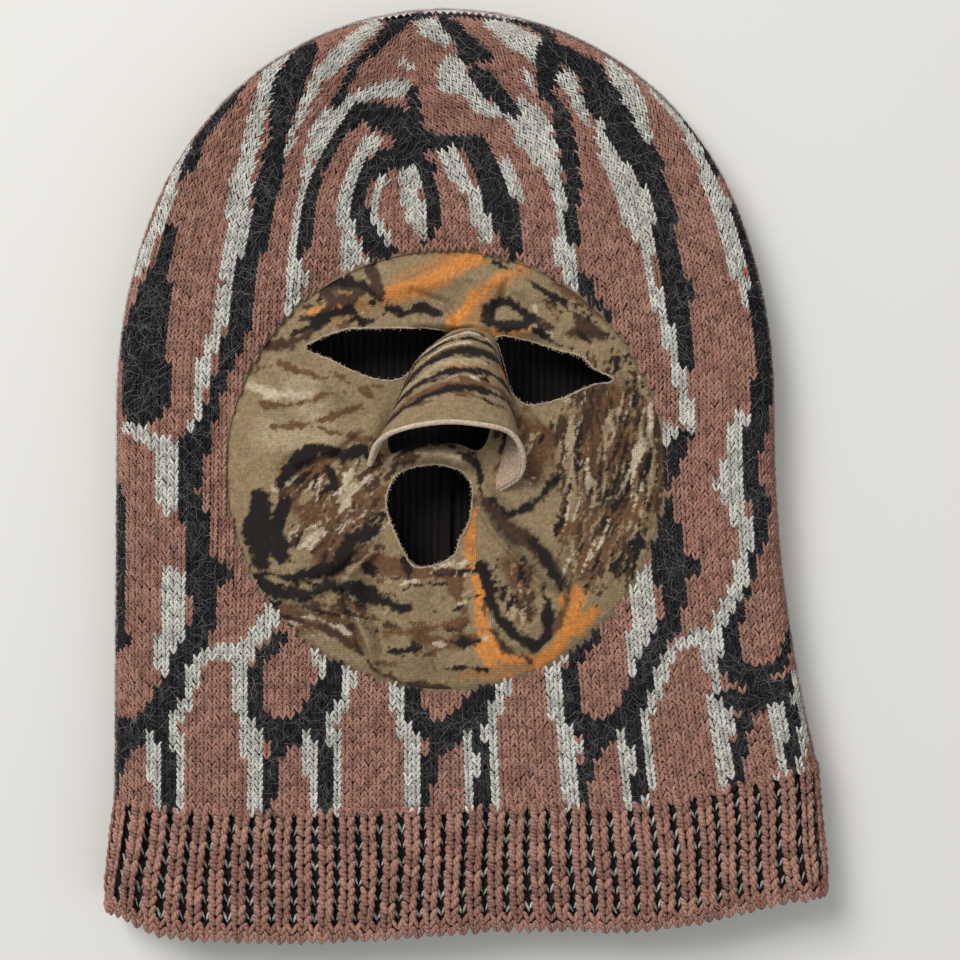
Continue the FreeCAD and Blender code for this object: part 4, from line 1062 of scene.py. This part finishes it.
def cloth_material(name):
    """Printed jersey: the print's colours under fine knitted columns, with a little nap."""
    if name in bpy.data.materials:
        return bpy.data.materials[name]
    material, tree, shader = start_material(name, 0.92, 0.04)
    paint_node = add_node(tree, "ShaderNodeAttribute", -900, 250, attribute_name="print")
    place = add_node(tree, "ShaderNodeTexCoord", -1100, -100)
    columns = add_node(tree, "ShaderNodeTexWave", -850, 0, bands_direction="X")
    columns.inputs["Scale"].default_value = 470
    columns.inputs["Distortion"].default_value = 0.8
    rows = add_node(tree, "ShaderNodeTexWave", -850, -250, bands_direction="Y")
    rows.inputs["Scale"].default_value = 560
    rows.inputs["Distortion"].default_value = 0.8
    nap = add_node(tree, "ShaderNodeTexNoise", -850, -500)
    nap.inputs["Scale"].default_value = 900
    nap.inputs["Detail"].default_value = 4
    for node in (columns, rows, nap):
        link(tree, place, "Object", node, "Vector")
    weave_node = add_node(tree, "ShaderNodeMath", -620, -80, operation="MULTIPLY")
    link(tree, columns, "Fac", weave_node, 0)
    link(tree, rows, "Fac", weave_node, 1)
    both = add_node(tree, "ShaderNodeMath", -450, -150, operation="ADD")
    link(tree, weave_node, 0, both, 0)
    link(tree, nap, "Fac", both, 1)
    shade = add_node(tree, "ShaderNodeMapRange", -280, -60)
    shade.inputs["From Min"].default_value = 0.3
    shade.inputs["From Max"].default_value = 1.3
    shade.inputs["To Min"].default_value = 0.74
    shade.inputs["To Max"].default_value = 1.28
    link(tree, both, 0, shade, "Value")
    mixed = add_node(tree, "ShaderNodeMix", -100, 150, data_type="RGBA", blend_type="MULTIPLY")
    mixed.inputs[0].default_value = 1
    tree.links.new(paint_node.outputs["Color"], mixed.inputs[6])
    tree.links.new(shade.outputs["Result"], mixed.inputs[7])
    tree.links.new(mixed.outputs[2], shader.inputs["Base Color"])
    bump = add_node(tree, "ShaderNodeBump", -100, -250)
    bump.inputs["Strength"].default_value = 0.6
    bump.inputs["Distance"].default_value = 0.0003
    link(tree, both, 0, bump, "Height")
    link(tree, bump, "Normal", shader, "Normal")
    return material


def plain_cloth(name, low, high):
    """Unprinted cloth, such as the wrong side and the raw edges."""
    if name in bpy.data.materials:
        return bpy.data.materials[name]
    material, tree, shader = start_material(name, 0.95, 0.3)
    place = add_node(tree, "ShaderNodeTexCoord", -800, 0)
    nap = add_node(tree, "ShaderNodeTexNoise", -600, 0)
    nap.inputs["Scale"].default_value = 1400
    nap.inputs["Detail"].default_value = 4
    ramp = add_node(tree, "ShaderNodeValToRGB", -400, 0)
    ramp.color_ramp.elements[0].position = 0.35
    ramp.color_ramp.elements[1].position = 0.65
    ramp.color_ramp.elements[0].color = (*low, 1)
    ramp.color_ramp.elements[1].color = (*high, 1)
    bump = add_node(tree, "ShaderNodeBump", -200, -250)
    bump.inputs["Distance"].default_value = 0.0004
    link(tree, place, "Object", nap, "Vector")
    link(tree, nap, "Fac", ramp, "Fac")
    link(tree, ramp, "Color", shader, "Base Color")
    link(tree, nap, "Fac", bump, "Height")
    link(tree, bump, "Normal", shader, "Normal")
    return material


def make_face_panel(cell):
    """The printed face, one sheet with two eyes, a mouth and the nose's gap."""
    size = FACE_R * 2 + 0.001
    count = int(size / cell)
    grid = bmesh.new()
    bmesh.ops.create_grid(grid, x_segments=count, y_segments=count, size=size / 2)
    places = np.array([v.co[:2] for v in grid.verts]) * 1000
    x, y = places[:, 0] + FACE_X * 1000, places[:, 1] + FACE_Y * 1000
    turns = np.linspace(0, 2 * math.pi, 240, endpoint=False)
    wave = FACE_R * 1000 - 0.4 + 0.4 * np.sin(turns * 9)
    rim = np.stack((FACE_X * 1000 + wave * np.cos(turns), FACE_Y * 1000 + wave * np.sin(turns)), 1)
    holes = [closed_curve(points) for points in (LEFT_EYE, RIGHT_EYE, MOUTH, NOSTRILS)]
    kept = cut_cloth(x, y, rim, holes)
    z = cloth_height(x, y)
    for point, px, py, pz in zip(grid.verts, x, y, z):
        point.co = (px / 1000, py / 1000, pz / 1000)
    grid.verts.index_update()
    gone = [f for f in grid.faces if not any(kept[v.index] for v in f.verts)]
    bmesh.ops.delete(grid, geom=gone, context="FACES")
    mesh = bpy.data.meshes.new("face_cloth")
    grid.to_mesh(mesh)
    grid.free()
    co = np.empty(len(mesh.vertices) * 3)
    mesh.vertices.foreach_get("co", co)
    co = co.reshape(-1, 3) * 1000
    chance = random.Random(5)
    grounds = tuple(stroke for stroke in PRINT_STROKES if stroke[1] > 2.5)
    figures = tuple(stroke for stroke in PRINT_STROKES if stroke[1] <= 2.5)
    strokes = grounds + tuple(bark_strokes(chance, BARK)) + figures
    colours = paint(co[:, 0], co[:, 1], "khaki", strokes)
    # Painted shadow: the print darkens by up to half over the cloth's outer 3 mm, where the knit
    # overlaps it.
    edge = np.hypot(co[:, 0] - FACE_X * 1000, co[:, 1] - FACE_Y * 1000)
    colours *= (1 - 0.5 * np.clip((edge - FACE_R * 1000 + 3) / 3, 0, 1))[:, None]
    write_colours(mesh, colours)
    mesh.shade_smooth()
    return place_piece(mesh, cloth_material("Printed Cloth"))


# The nose cover, in rows from the bridge to the rim: x, y and z in millimetres.
NOSE_ROWS = (
    ((-8, 47, 24), (-6, 48, 25.5), (-4, 48.6, 26.2), (-1.5, 49, 26.6), (1, 49, 26.8),
     (3.5, 48.6, 26.6), (6, 47.6, 26), (8, 46.2, 25), (9.5, 44.5, 23.8)),
    ((-18, 38, 23), (-16, 39.5, 28), (-11, 41, 31.5), (-5, 42, 33.5), (1, 41.6, 33.5),
     (6, 40, 32), (9.5, 38, 29), (11.5, 35.5, 26), (12.3, 32, 23.4)),
    ((-26, 21, 23), (-24, 24, 30), (-17, 27, 36), (-7, 29, 39), (3, 28, 38.5),
     (10, 26, 35.5), (14, 23, 31), (15.8, 19.5, 27), (14.5, 13, 23)),
    ((-35, 1, 24.5), (-32, 8, 32), (-24, 12.5, 39), (-9, 15, 42.5), (5, 14, 42),
     (14, 11.5, 39), (18.5, 5, 34), (17.5, -3, 28.5), (8.5, -9, 23.5)),
)


def along_points(points, share):
    """A point on a smooth open line through a few points."""
    points = [Vector(p) for p in points]
    place = share * (len(points) - 1)
    index = min(int(place), len(points) - 2)
    t = place - index
    start, end = points[index], points[index + 1]
    before = points[index - 1] if index else start * 2 - end
    after = points[index + 2] if index + 2 < len(points) else end * 2 - start
    return 0.5 * (2 * start + (end - before) * t + (2 * before - 5 * start + 4 * end - after) * t ** 2
                  + (3 * start - before - 3 * end + after) * t ** 3)


def follow_nose(piece):
    """Bakes a nose piece's placing into its mesh."""
    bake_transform(piece)


def nose_point(across_share, down_share):
    """A point of the nose cover."""
    column = [along_points(row, across_share) for row in NOSE_ROWS]
    point = along_points(column, down_share) / 1000
    lump = noise.noise(Vector((across_share * 6, down_share * 5, 2.2))) * 0.0008
    return point + Vector((0, 0, lump))


NOSE_STROKES = (
    ("umber", 2, (-34, 14, 3), (-14, 5, 3), (10, 4, 3)),
    ("white", 1.6, (-30, 17, 2), (-18, 9, 3), (-4, 5, 2.4), (8, 5, 1)),
    ("dark", 1.2, (-33, 22, 2), (-17, 13, 2.6), (0, 10, 2.6), (18, 10, 2.2), (30, 14, 1)),
    ("white", 1.2, (-30, 25, 1.4), (-14, 16, 2.2), (0, 13, 1.4)),
    ("brown", 1.5, (-34, 28, 3), (-16, 19, 3), (4, 16, 3), (24, 16, 2)),
    ("dark", 1.2, (-35, 31, 2.6), (-20, 22, 3.4), (-2, 18, 3.6), (16, 17, 3.2), (30, 21, 2)),
    ("pale", 1.2, (-32, 33, 1.6), (-14, 24, 2.4), (6, 22, 2)),
    ("amber", 1.5, (-24, 32, 2), (-6, 26, 2.4), (14, 24, 2)),
    ("dark", 1.2, (-35, 38, 2.4), (-20, 30, 2.8), (0, 26, 2.2), (18, 26, 2.6), (32, 29, 2)),
    ("orange", 1.2, (19, 20, 2), (27, 24, 5)),
    ("brown", 1.5, (-34, 42, 3), (-16, 35, 3), (6, 31, 3), (26, 33, 3)),
    ("dark", 1.2, (-35, 45, 2), (-22, 39, 2.6), (-4, 34, 2), (16, 34, 1.8), (30, 37, 2.4)),
    ("khaki", 2.5, (-20, 46, 3), (-4, 43, 6), (14, 42, 6), (34, 43, 5)),
    ("brown", 2.5, (-35, 48, 3), (0, 48.5, 1.6), (34, 48, 3)),
)


def make_nose_cover():
    """The nose cover: a printed tent, open below, with a paler wrong side."""
    shares = []

    def place(across_share, down_share):
        """One point of the cover, its shares kept for the print."""
        shares.append((across_share, down_share))
        return nose_point(across_share, down_share)

    grid = fit_grid(110, 84, place)
    mesh = bpy.data.meshes.new("nose_cloth")
    bmesh.ops.reverse_faces(grid, faces=grid.faces)
    grid.to_mesh(mesh)
    grid.free()
    places = np.array(shares)
    x, y = (places[:, 0] - 0.5) * 72, places[:, 1] * 48
    chance = random.Random(9)
    streaks = bark_strokes(chance, ((0, 22, 34, 18, 6, 70, 12), (-20, 12, 12, 10, 24, 16, 9)))
    colours = paint(x, y, "khaki", tuple(streaks) + NOSE_STROKES, rough=1.0)
    write_colours(mesh, colours)
    mesh.shade_smooth()
    mesh.materials.append(cloth_material("Printed Cloth"))
    mesh.materials.append(plain_cloth("Wrong Side", (0.26, 0.17, 0.11), (0.46, 0.34, 0.25)))
    piece = place_piece(mesh, None, body=None)
    wall = piece.modifiers.new("Cloth Wall", "SOLIDIFY")
    wall.thickness = 0.0011
    wall.offset = -1
    wall.material_offset = 1
    wall.material_offset_rim = 1
    follow_nose(piece)
    return piece


def tube(name, points, radius, material, closed=False, body="mask"):
    """A soft round edge of cloth along a line of points in metres."""
    line = bpy.data.curves.new(name, "CURVE")
    line.dimensions = "3D"
    line.bevel_depth = radius
    line.bevel_resolution = 1
    spline = line.splines.new("POLY")
    spline.points.add(len(points) - 1)
    for knot, point in zip(spline.points, points):
        knot.co = (*point, 1)
    spline.use_cyclic_u = closed
    holder = bpy.data.objects.new(name + "_line", line)
    bpy.context.scene.collection.objects.link(holder)
    bpy.context.view_layer.update()
    mesh = bpy.data.meshes.new_from_object(holder.evaluated_get(
        bpy.context.evaluated_depsgraph_get()))
    mesh.name = name
    bpy.data.objects.remove(holder)
    mesh.materials.clear()
    mesh.shade_smooth()
    return place_piece(mesh, material, body)


def raw_edges():
    """The raw edges of the eyes and the mouth, and the nose's thick rim."""
    raw = plain_cloth("Raw Edge", (0.20, 0.145, 0.09), (0.44, 0.35, 0.24))
    for name, outline in (("left_eye_edge", LEFT_EYE), ("right_eye_edge", RIGHT_EYE),
                          ("mouth_edge", MOUTH)):
        line = closed_curve(outline, 8)
        heights = cloth_height(line[:, 0], line[:, 1])
        chance = random.Random(3)
        points = [(x / 1000 + chance.uniform(-2e-4, 2e-4), y / 1000 + chance.uniform(-2e-4, 2e-4),
                   z / 1000 - 0.0001) for (x, y), z in zip(line, heights)]
        tube(name, points, 0.00036, raw, closed=True)
    frayed_edges(raw)
    rim = plain_cloth("Nose Rim", (0.34, 0.25, 0.17), (0.60, 0.49, 0.37))
    points = [nose_point(step / 60, 1.0) - Vector((0, 0, 0.0006)) for step in range(61)]
    edge = tube("nose_rim", points, 0.0010, rim, body=None)
    follow_nose(edge)


def frayed_edges(material):
    """Short loose threads all round the eyes and the mouth."""
    chance = random.Random(31)
    places, tones, bends = [], [], []
    for outline in (LEFT_EYE, RIGHT_EYE, MOUTH):
        line = closed_curve(outline, 10)
        middle = line.mean(0)
        for x, y in line:
            height = float(cloth_height(np.array([x]), np.array([y]))[0])
            for _ in range(2):
                inward = Vector((middle[0] - x, middle[1] - y, 0)).normalized()
                turn = Matrix.Rotation(chance.uniform(-1.3, 1.3), 3, "Z")
                along = (turn @ inward + Vector((0, 0, chance.uniform(-0.2, 0.7)))).normalized()
                out = Vector((0, 0, 1))
                side = along.cross(out).normalized()
                long = chance.uniform(0.0004, 0.0015)
                spot = Vector((x, y, height)) / 1000 + along * long * 0.4
                places.append((spot, side * 0.00014, along * long, out * 0.0001))
                tones.append(chance.uniform(0, 1))
                bends.append((chance.uniform(0, 6.3), *(side * chance.uniform(-0.0004, 0.0004)),
                              0, 0, 0))
    mesh = repeat_shape("frayed_threads", fibre_strip(), places, tones, np.array(bends))
    return place_piece(mesh, material)


# The sewing thread's thickness, and how far its stitches slant in turn.
THREAD = 0.0005
STITCH_SLANT = 0.12


def sewing_thread(colour="tan"):
    """The finish of a sewing thread."""
    shades = {"tan": ((0.10, 0.07, 0.045), (0.24, 0.17, 0.11), (0.40, 0.31, 0.21)),
              # The dark thread is near black as painted shade, for the seams that show inside the
              # hood.
              "dark": ((0.004, 0.003, 0.003), (0.012, 0.009, 0.008), (0.03, 0.022, 0.02))}[colour]
    return yarn_material("Thread " + colour, *shades, plies=5.0, sheen=0.1)


def thread_row(name, points, pitch, long):
    """A row of machine stitches along a line of points in metres."""
    chance = random.Random(len(points))
    line = [Vector(p) for p in points]
    lengths = [(b - a).length for a, b in zip(line, line[1:])]
    total = sum(lengths)
    count = max(int(total / pitch), 1)
    places, tones = [], []
    for index in range(count):
        run = (index + 0.5) * total / count
        step = 0
        while run > lengths[step]:
            run -= lengths[step]
            step += 1
        along = (line[step + 1] - line[step]).normalized()
        middle = line[step] + along * run
        out = Vector((0, 0, 1))
        side = along.cross(out).normalized()
        turn = STITCH_SLANT if index % 2 else -STITCH_SLANT
        lie = (along * math.cos(turn) + side * math.sin(turn)).normalized()
        places.append((middle, lie.cross(out) * THREAD, lie * long, out * THREAD))
        tones.append(chance.uniform(0.2, 0.8))
    mesh = repeat_shape(name, stitch_leg(), places, tones)
    return place_piece(mesh, sewing_thread())


def on_cloth(points, above=0.0003, steps=8):
    """A smooth line over the face's cloth through a few points in millimetres."""
    line = [along_points([(*p, 0) for p in points], step / (steps * (len(points) - 1)))
            for step in range(steps * (len(points) - 1) + 1)]
    x, y = np.array([p.x for p in line]), np.array([p.y for p in line])
    return [(a / 1000, b / 1000, z / 1000 + above) for a, b, z in zip(x, y, cloth_height(x, y))]


def sewing():
    """The rows of sewing that show on the face."""
    bridge = on_cloth(((-9, 47.6), (0, 48.6), (9, 46.2)))
    left = on_cloth(((-9, 46.5), (-19, 37), (-27, 20), (-33, 4)))
    right = on_cloth(((10, 44), (13.5, 31), (15, 14), (10, -7)))
    return [
        thread_row("nose_stitch_bridge", bridge, 0.0016, 0.0019),
        thread_row("nose_stitch_left", left, 0.0018, 0.0021),
        thread_row("nose_stitch_right", right, 0.0018, 0.0021),
    ]


def fibres(knit):
    """Loose fibres: pale curls over the black yarn, and a soft halo round the outline."""
    chance = random.Random(21)
    stores = {"pale": ([], [], []), "mauve": ([], [], [])}
    tries = 0
    wanted = knit.fibre_count
    while len(stores["pale"][0]) < wanted and tries < wanted * 12:
        tries += 1
        x, y = chance.uniform(LEFT, HOOD[1][0]), chance.uniform(SEAM_Y, TOP_Y)
        front = chance.random() < 0.62
        if inside(x, y) < 0.001:
            continue
        if front and math.hypot(x - FACE_X, y - FACE_Y) < FACE_R + 0.003:
            continue
        yarn = yarn_at(x, y, front)
        if yarn != "black" and chance.random() > 0.16:
            continue
        add_fibre(stores["pale"], x, y, front, chance, chance.uniform(0.003, 0.008), 0.00007)
    for _ in range(wanted):
        side = chance.random()
        if side < 0.55:
            y = chance.uniform(SEAM_Y, TOP_Y - 0.002)
            left, right = edges(y)
            x = left + 0.001 if chance.random() < 0.5 else right - 0.001
        else:
            x = chance.uniform(-0.09, 0.075)
            y = TOP_Y - 0.001
            while inside(x, y) < 0.0008 and y > SPRING_Y:
                y -= 0.0008
        add_fibre(stores["mauve"], x, y, chance.random() < 0.6, chance,
                  chance.uniform(0.003, 0.009), 0.00013)
    pieces = []
    looks = {"pale": ((0.09, 0.08, 0.07), (0.24, 0.22, 0.20), (0.42, 0.39, 0.36)),
             "mauve": ((0.26, 0.16, 0.13), (0.45, 0.30, 0.25), (0.62, 0.48, 0.42))}
    for name, (places, tones, bends) in stores.items():
        mesh = repeat_shape("fibres_" + name, fibre_strip(), places, tones, np.array(bends))
        material = yarn_material("Fibre " + name, *looks[name], plies=1.0, sheen=0.3)
        pieces.append(place_piece(mesh, material))
    return pieces


def add_fibre(store, x, y, front, chance, long, wide):
    """One curled fibre, standing a little off the knit."""
    point, out = knit_point(x, y, front)
    spin = chance.uniform(0, math.pi)
    flat = Vector((math.cos(spin), math.sin(spin), 0))
    along = (flat - out * flat.dot(out))
    along.normalize()
    side = along.cross(out).normalized()
    store[0].append((point + out * 0.0006, side * wide, along * long, out * wide))
    store[1].append(chance.uniform(0, 1))
    bow = out * chance.uniform(0.0002, 0.0010) + side * chance.uniform(-0.0010, 0.0010)
    curl = side * chance.uniform(0.0, 0.0003)
    store[2].append((chance.uniform(0, 6.3), *bow, *curl))


def length(name, description, default, precision=5):
    """A setting for a length in metres."""
    return bpy.props.FloatProperty(name=name, description=description, default=default,
                                   subtype="DISTANCE", unit="LENGTH", precision=precision)


def colour(name, description, default):
    """A setting for a colour."""
    return bpy.props.FloatVectorProperty(name=name, description=description, default=default,
                                         subtype="COLOR", size=3, min=0, max=1)


class KnitSettings(bpy.types.PropertyGroup):
    """Sizes and yarns of the knit."""
    wale_pitch: length("Wale Pitch", "Width of one column of stitches", 0.00275)
    course_pitch: length("Course Pitch", "Height of one row of stitches", 0.00200)
    yarn_depth: length("Yarn Depth", "How far a stitch stands off the cloth", 0.0013)
    rib_count: bpy.props.IntProperty(
        name="Ribs", description="Raised ribs across one side of the neck", default=36)
    rib_pitch: length("Rib Row", "Height of one row of the ribbing", 0.0029)
    fibre_count: bpy.props.IntProperty(
        name="Fibres", description="Loose fibres of each kind", default=5200)
    mauve: colour("Mauve Yarn", "The knit's ground and its ribs", YARNS["mauve"][1])
    grey: colour("Grey Yarn", "The jacquard's pale streaks", YARNS["grey"][1])
    black: colour("Black Yarn", "The jacquard's dark streaks", YARNS["black"][1])


class ClothSettings(bpy.types.PropertyGroup):
    """Sizes and colours of the printed cloth."""
    cell: length("Cloth Cell", "Spacing of the face cloth's mesh", 0.00055)
    khaki: colour("Khaki", "The print's ground", PRINT["khaki"])
    pale: colour("Pale", "The print's soft light patches", PRINT["pale"])
    white: colour("White", "The print's lightest streaks", PRINT["white"])
    orange: colour("Orange", "The print's leaves", PRINT["orange"])
    amber: colour("Amber", "The soft edge of the print's leaves", PRINT["amber"])
    brown: colour("Brown", "The print's bark", PRINT["brown"])
    umber: colour("Umber", "The print's shaded bark", PRINT["umber"])
    dark: colour("Dark", "The print's darkest strokes", PRINT["dark"])


class StageSettings(bpy.types.PropertyGroup):
    """The floor and the camera."""
    floor: colour("Floor Colour", "Colour of the pale floor", (0.63, 0.62, 0.59))
    elevation: bpy.props.FloatProperty(
        name="Elevation", description="How high the camera looks from, above the horizon",
        default=math.radians(88.5), subtype="ANGLE", unit="ROTATION")
    distance: length("Distance", "How far the camera stands from the mask", 0.60, precision=3)
    focal: bpy.props.FloatProperty(
        name="Focal Length", description="The camera's lens, in millimetres", default=63.4)


# The lamps, each with its place, its size and its power.
LAMPS = (
    ("key", (-0.95, 1.0, 1.55), 1.0, 44),
    ("fill", (0.9, -0.7, 1.3), 1.6, 9),
)


class MASK_OT_stage(bpy.types.Operator):
    """Makes the floor, the lights and the camera"""
    bl_idname = "mask.stage"
    bl_label = "Stage"

    def execute(self, context):
        stage = context.scene.mask_stage
        floor = bmesh.new()
        bmesh.ops.create_grid(floor, x_segments=2, y_segments=2, size=3)
        bmesh.ops.translate(floor, verts=floor.verts, vec=(0, 0, -0.0004))
        mesh = bpy.data.meshes.new("floor")
        floor.to_mesh(mesh)
        floor.free()
        material, _, shader = start_material("Floor", 0.9, 0.0)
        shader.inputs["Base Color"].default_value = (*stage.floor, 1)
        mesh.materials.append(material)
        ground = bpy.data.objects.new("floor", mesh)
        context.scene.collection.objects.link(ground)
        target = Vector((0.0038, -0.0042, 0.018))
        for name, place, size, power in LAMPS:
            lamp = bpy.data.lights.new(name, "AREA")
            lamp.size = size
            lamp.energy = power
            lamp.color = (1.0, 0.985, 0.96)
            holder = bpy.data.objects.new(name, lamp)
            holder.location = place
            holder.rotation_euler = (target - holder.location).to_track_quat("-Z", "Y").to_euler()
            context.scene.collection.objects.link(holder)
        world = bpy.data.worlds.new("Studio")
        world.use_nodes = True
        world.node_tree.nodes["Background"].inputs["Color"].default_value = (0.93, 0.96, 1, 1)
        world.node_tree.nodes["Background"].inputs["Strength"].default_value = 0.36
        context.scene.world = world
        lens = bpy.data.cameras.new("camera")
        lens.lens = stage.focal
        lens.sensor_width = 36
        camera = bpy.data.objects.new("camera", lens)
        toward = Vector((0, -math.cos(stage.elevation), math.sin(stage.elevation)))
        camera.location = target + toward * stage.distance
        camera.rotation_euler = (-toward).to_track_quat("-Z", "Y").to_euler()
        context.scene.collection.objects.link(camera)
        context.scene.camera = camera
        context.scene.view_settings.view_transform = "Standard"
        return {"FINISHED"}


class MASK_OT_hood(bpy.types.Operator):
    """Knits the hood: its cloth, its stitches and its loose fibres"""
    bl_idname = "mask.hood"
    bl_label = "Hood"

    def execute(self, context):
        knit = context.scene.mask_knit
        cloth = make_hood_cloth()
        stitches = make_hood_stitches(knit)
        loose = fibres(knit)
        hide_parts("hood_knit")
        return {"FINISHED"}


class MASK_OT_neck(bpy.types.Operator):
    """Knits the ribbed neck"""
    bl_idname = "mask.neck"
    bl_label = "Neck Rib"

    def execute(self, context):
        knit = context.scene.mask_knit
        cloth = make_rib_cloth()
        ribs = make_neck_rib(knit)
        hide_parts("neck_rib")
        return {"FINISHED"}


class MASK_OT_face(bpy.types.Operator):
    """Makes the printed face with its eye and mouth holes"""
    bl_idname = "mask.face"
    bl_label = "Face Panel"

    def execute(self, context):
        cell = context.scene.mask_cloth.cell
        cloth = make_face_panel(cell)
        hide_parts("face_panel")
        return {"FINISHED"}


class MASK_OT_nose(bpy.types.Operator):
    """Makes the nose cover, its rim and the raw edges of the face"""
    bl_idname = "mask.nose"
    bl_label = "Nose Cover"

    def execute(self, context):
        cover = make_nose_cover()
        raw_edges()
        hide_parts("nose_cover")
        return {"FINISHED"}


class MASK_OT_sewing(bpy.types.Operator):
    """Sews the rows of thread, and finishes the seams inside"""
    bl_idname = "mask.sewing"
    bl_label = "Sewing"

    def execute(self, context):
        bridge, left, right = sewing()
        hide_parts("nose_bridge_stitch")
        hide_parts("nose_seam_left")
        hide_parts("nose_seam_right")
        for name in ("face_seam", "chin_dart_left", "chin_dart_right", "crown_seam_front",
                     "crown_seam_back", "crown_seam_left", "crown_seam_right", "crown_tack",
                     "back_seam"):
            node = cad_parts[name]
            # Painted shade: the knit's seams take the near-black thread where they show inside the
            # hood.
            thread = sewing_thread("tan" if "face" in name or "dart" in name else "dark")
            node.data.materials.clear()
            node.data.materials.append(thread)
        return {"FINISHED"}


class MASK_PT_sidebar(bpy.types.Panel):
    """The sidebar's buttons and sizes"""
    bl_idname = "MASK_PT_sidebar"
    bl_label = "Face Mask"
    bl_space_type = "VIEW_3D"
    bl_region_type = "UI"
    bl_category = "Face Mask"

    def draw(self, context):
        for group in (context.scene.mask_knit, context.scene.mask_cloth, context.scene.mask_stage):
            for key in group.__annotations__:
                self.layout.prop(group, key)
        for piece in PIECES:
            self.layout.operator(piece.bl_idname)


PIECES = (MASK_OT_stage, MASK_OT_hood, MASK_OT_neck, MASK_OT_face, MASK_OT_nose, MASK_OT_sewing)
CLASSES = (KnitSettings, ClothSettings, StageSettings, *PIECES, MASK_PT_sidebar)


def register():
    """Adds the classes and their settings."""
    for kind in CLASSES:
        bpy.utils.register_class(kind)
    bpy.types.Scene.mask_knit = bpy.props.PointerProperty(type=KnitSettings)
    bpy.types.Scene.mask_cloth = bpy.props.PointerProperty(type=ClothSettings)
    bpy.types.Scene.mask_stage = bpy.props.PointerProperty(type=StageSettings)


def unregister():
    """Takes the classes and their settings away."""
    del bpy.types.Scene.mask_stage
    del bpy.types.Scene.mask_cloth
    del bpy.types.Scene.mask_knit
    for kind in reversed(CLASSES):
        bpy.utils.unregister_class(kind)


def main():
    """Makes every piece in order."""
    register()
    bpy.ops.mask.stage()
    bpy.ops.mask.hood()
    bpy.ops.mask.neck()
    bpy.ops.mask.face()
    bpy.ops.mask.nose()
    bpy.ops.mask.sewing()


if __name__ == "__main__":
    main()
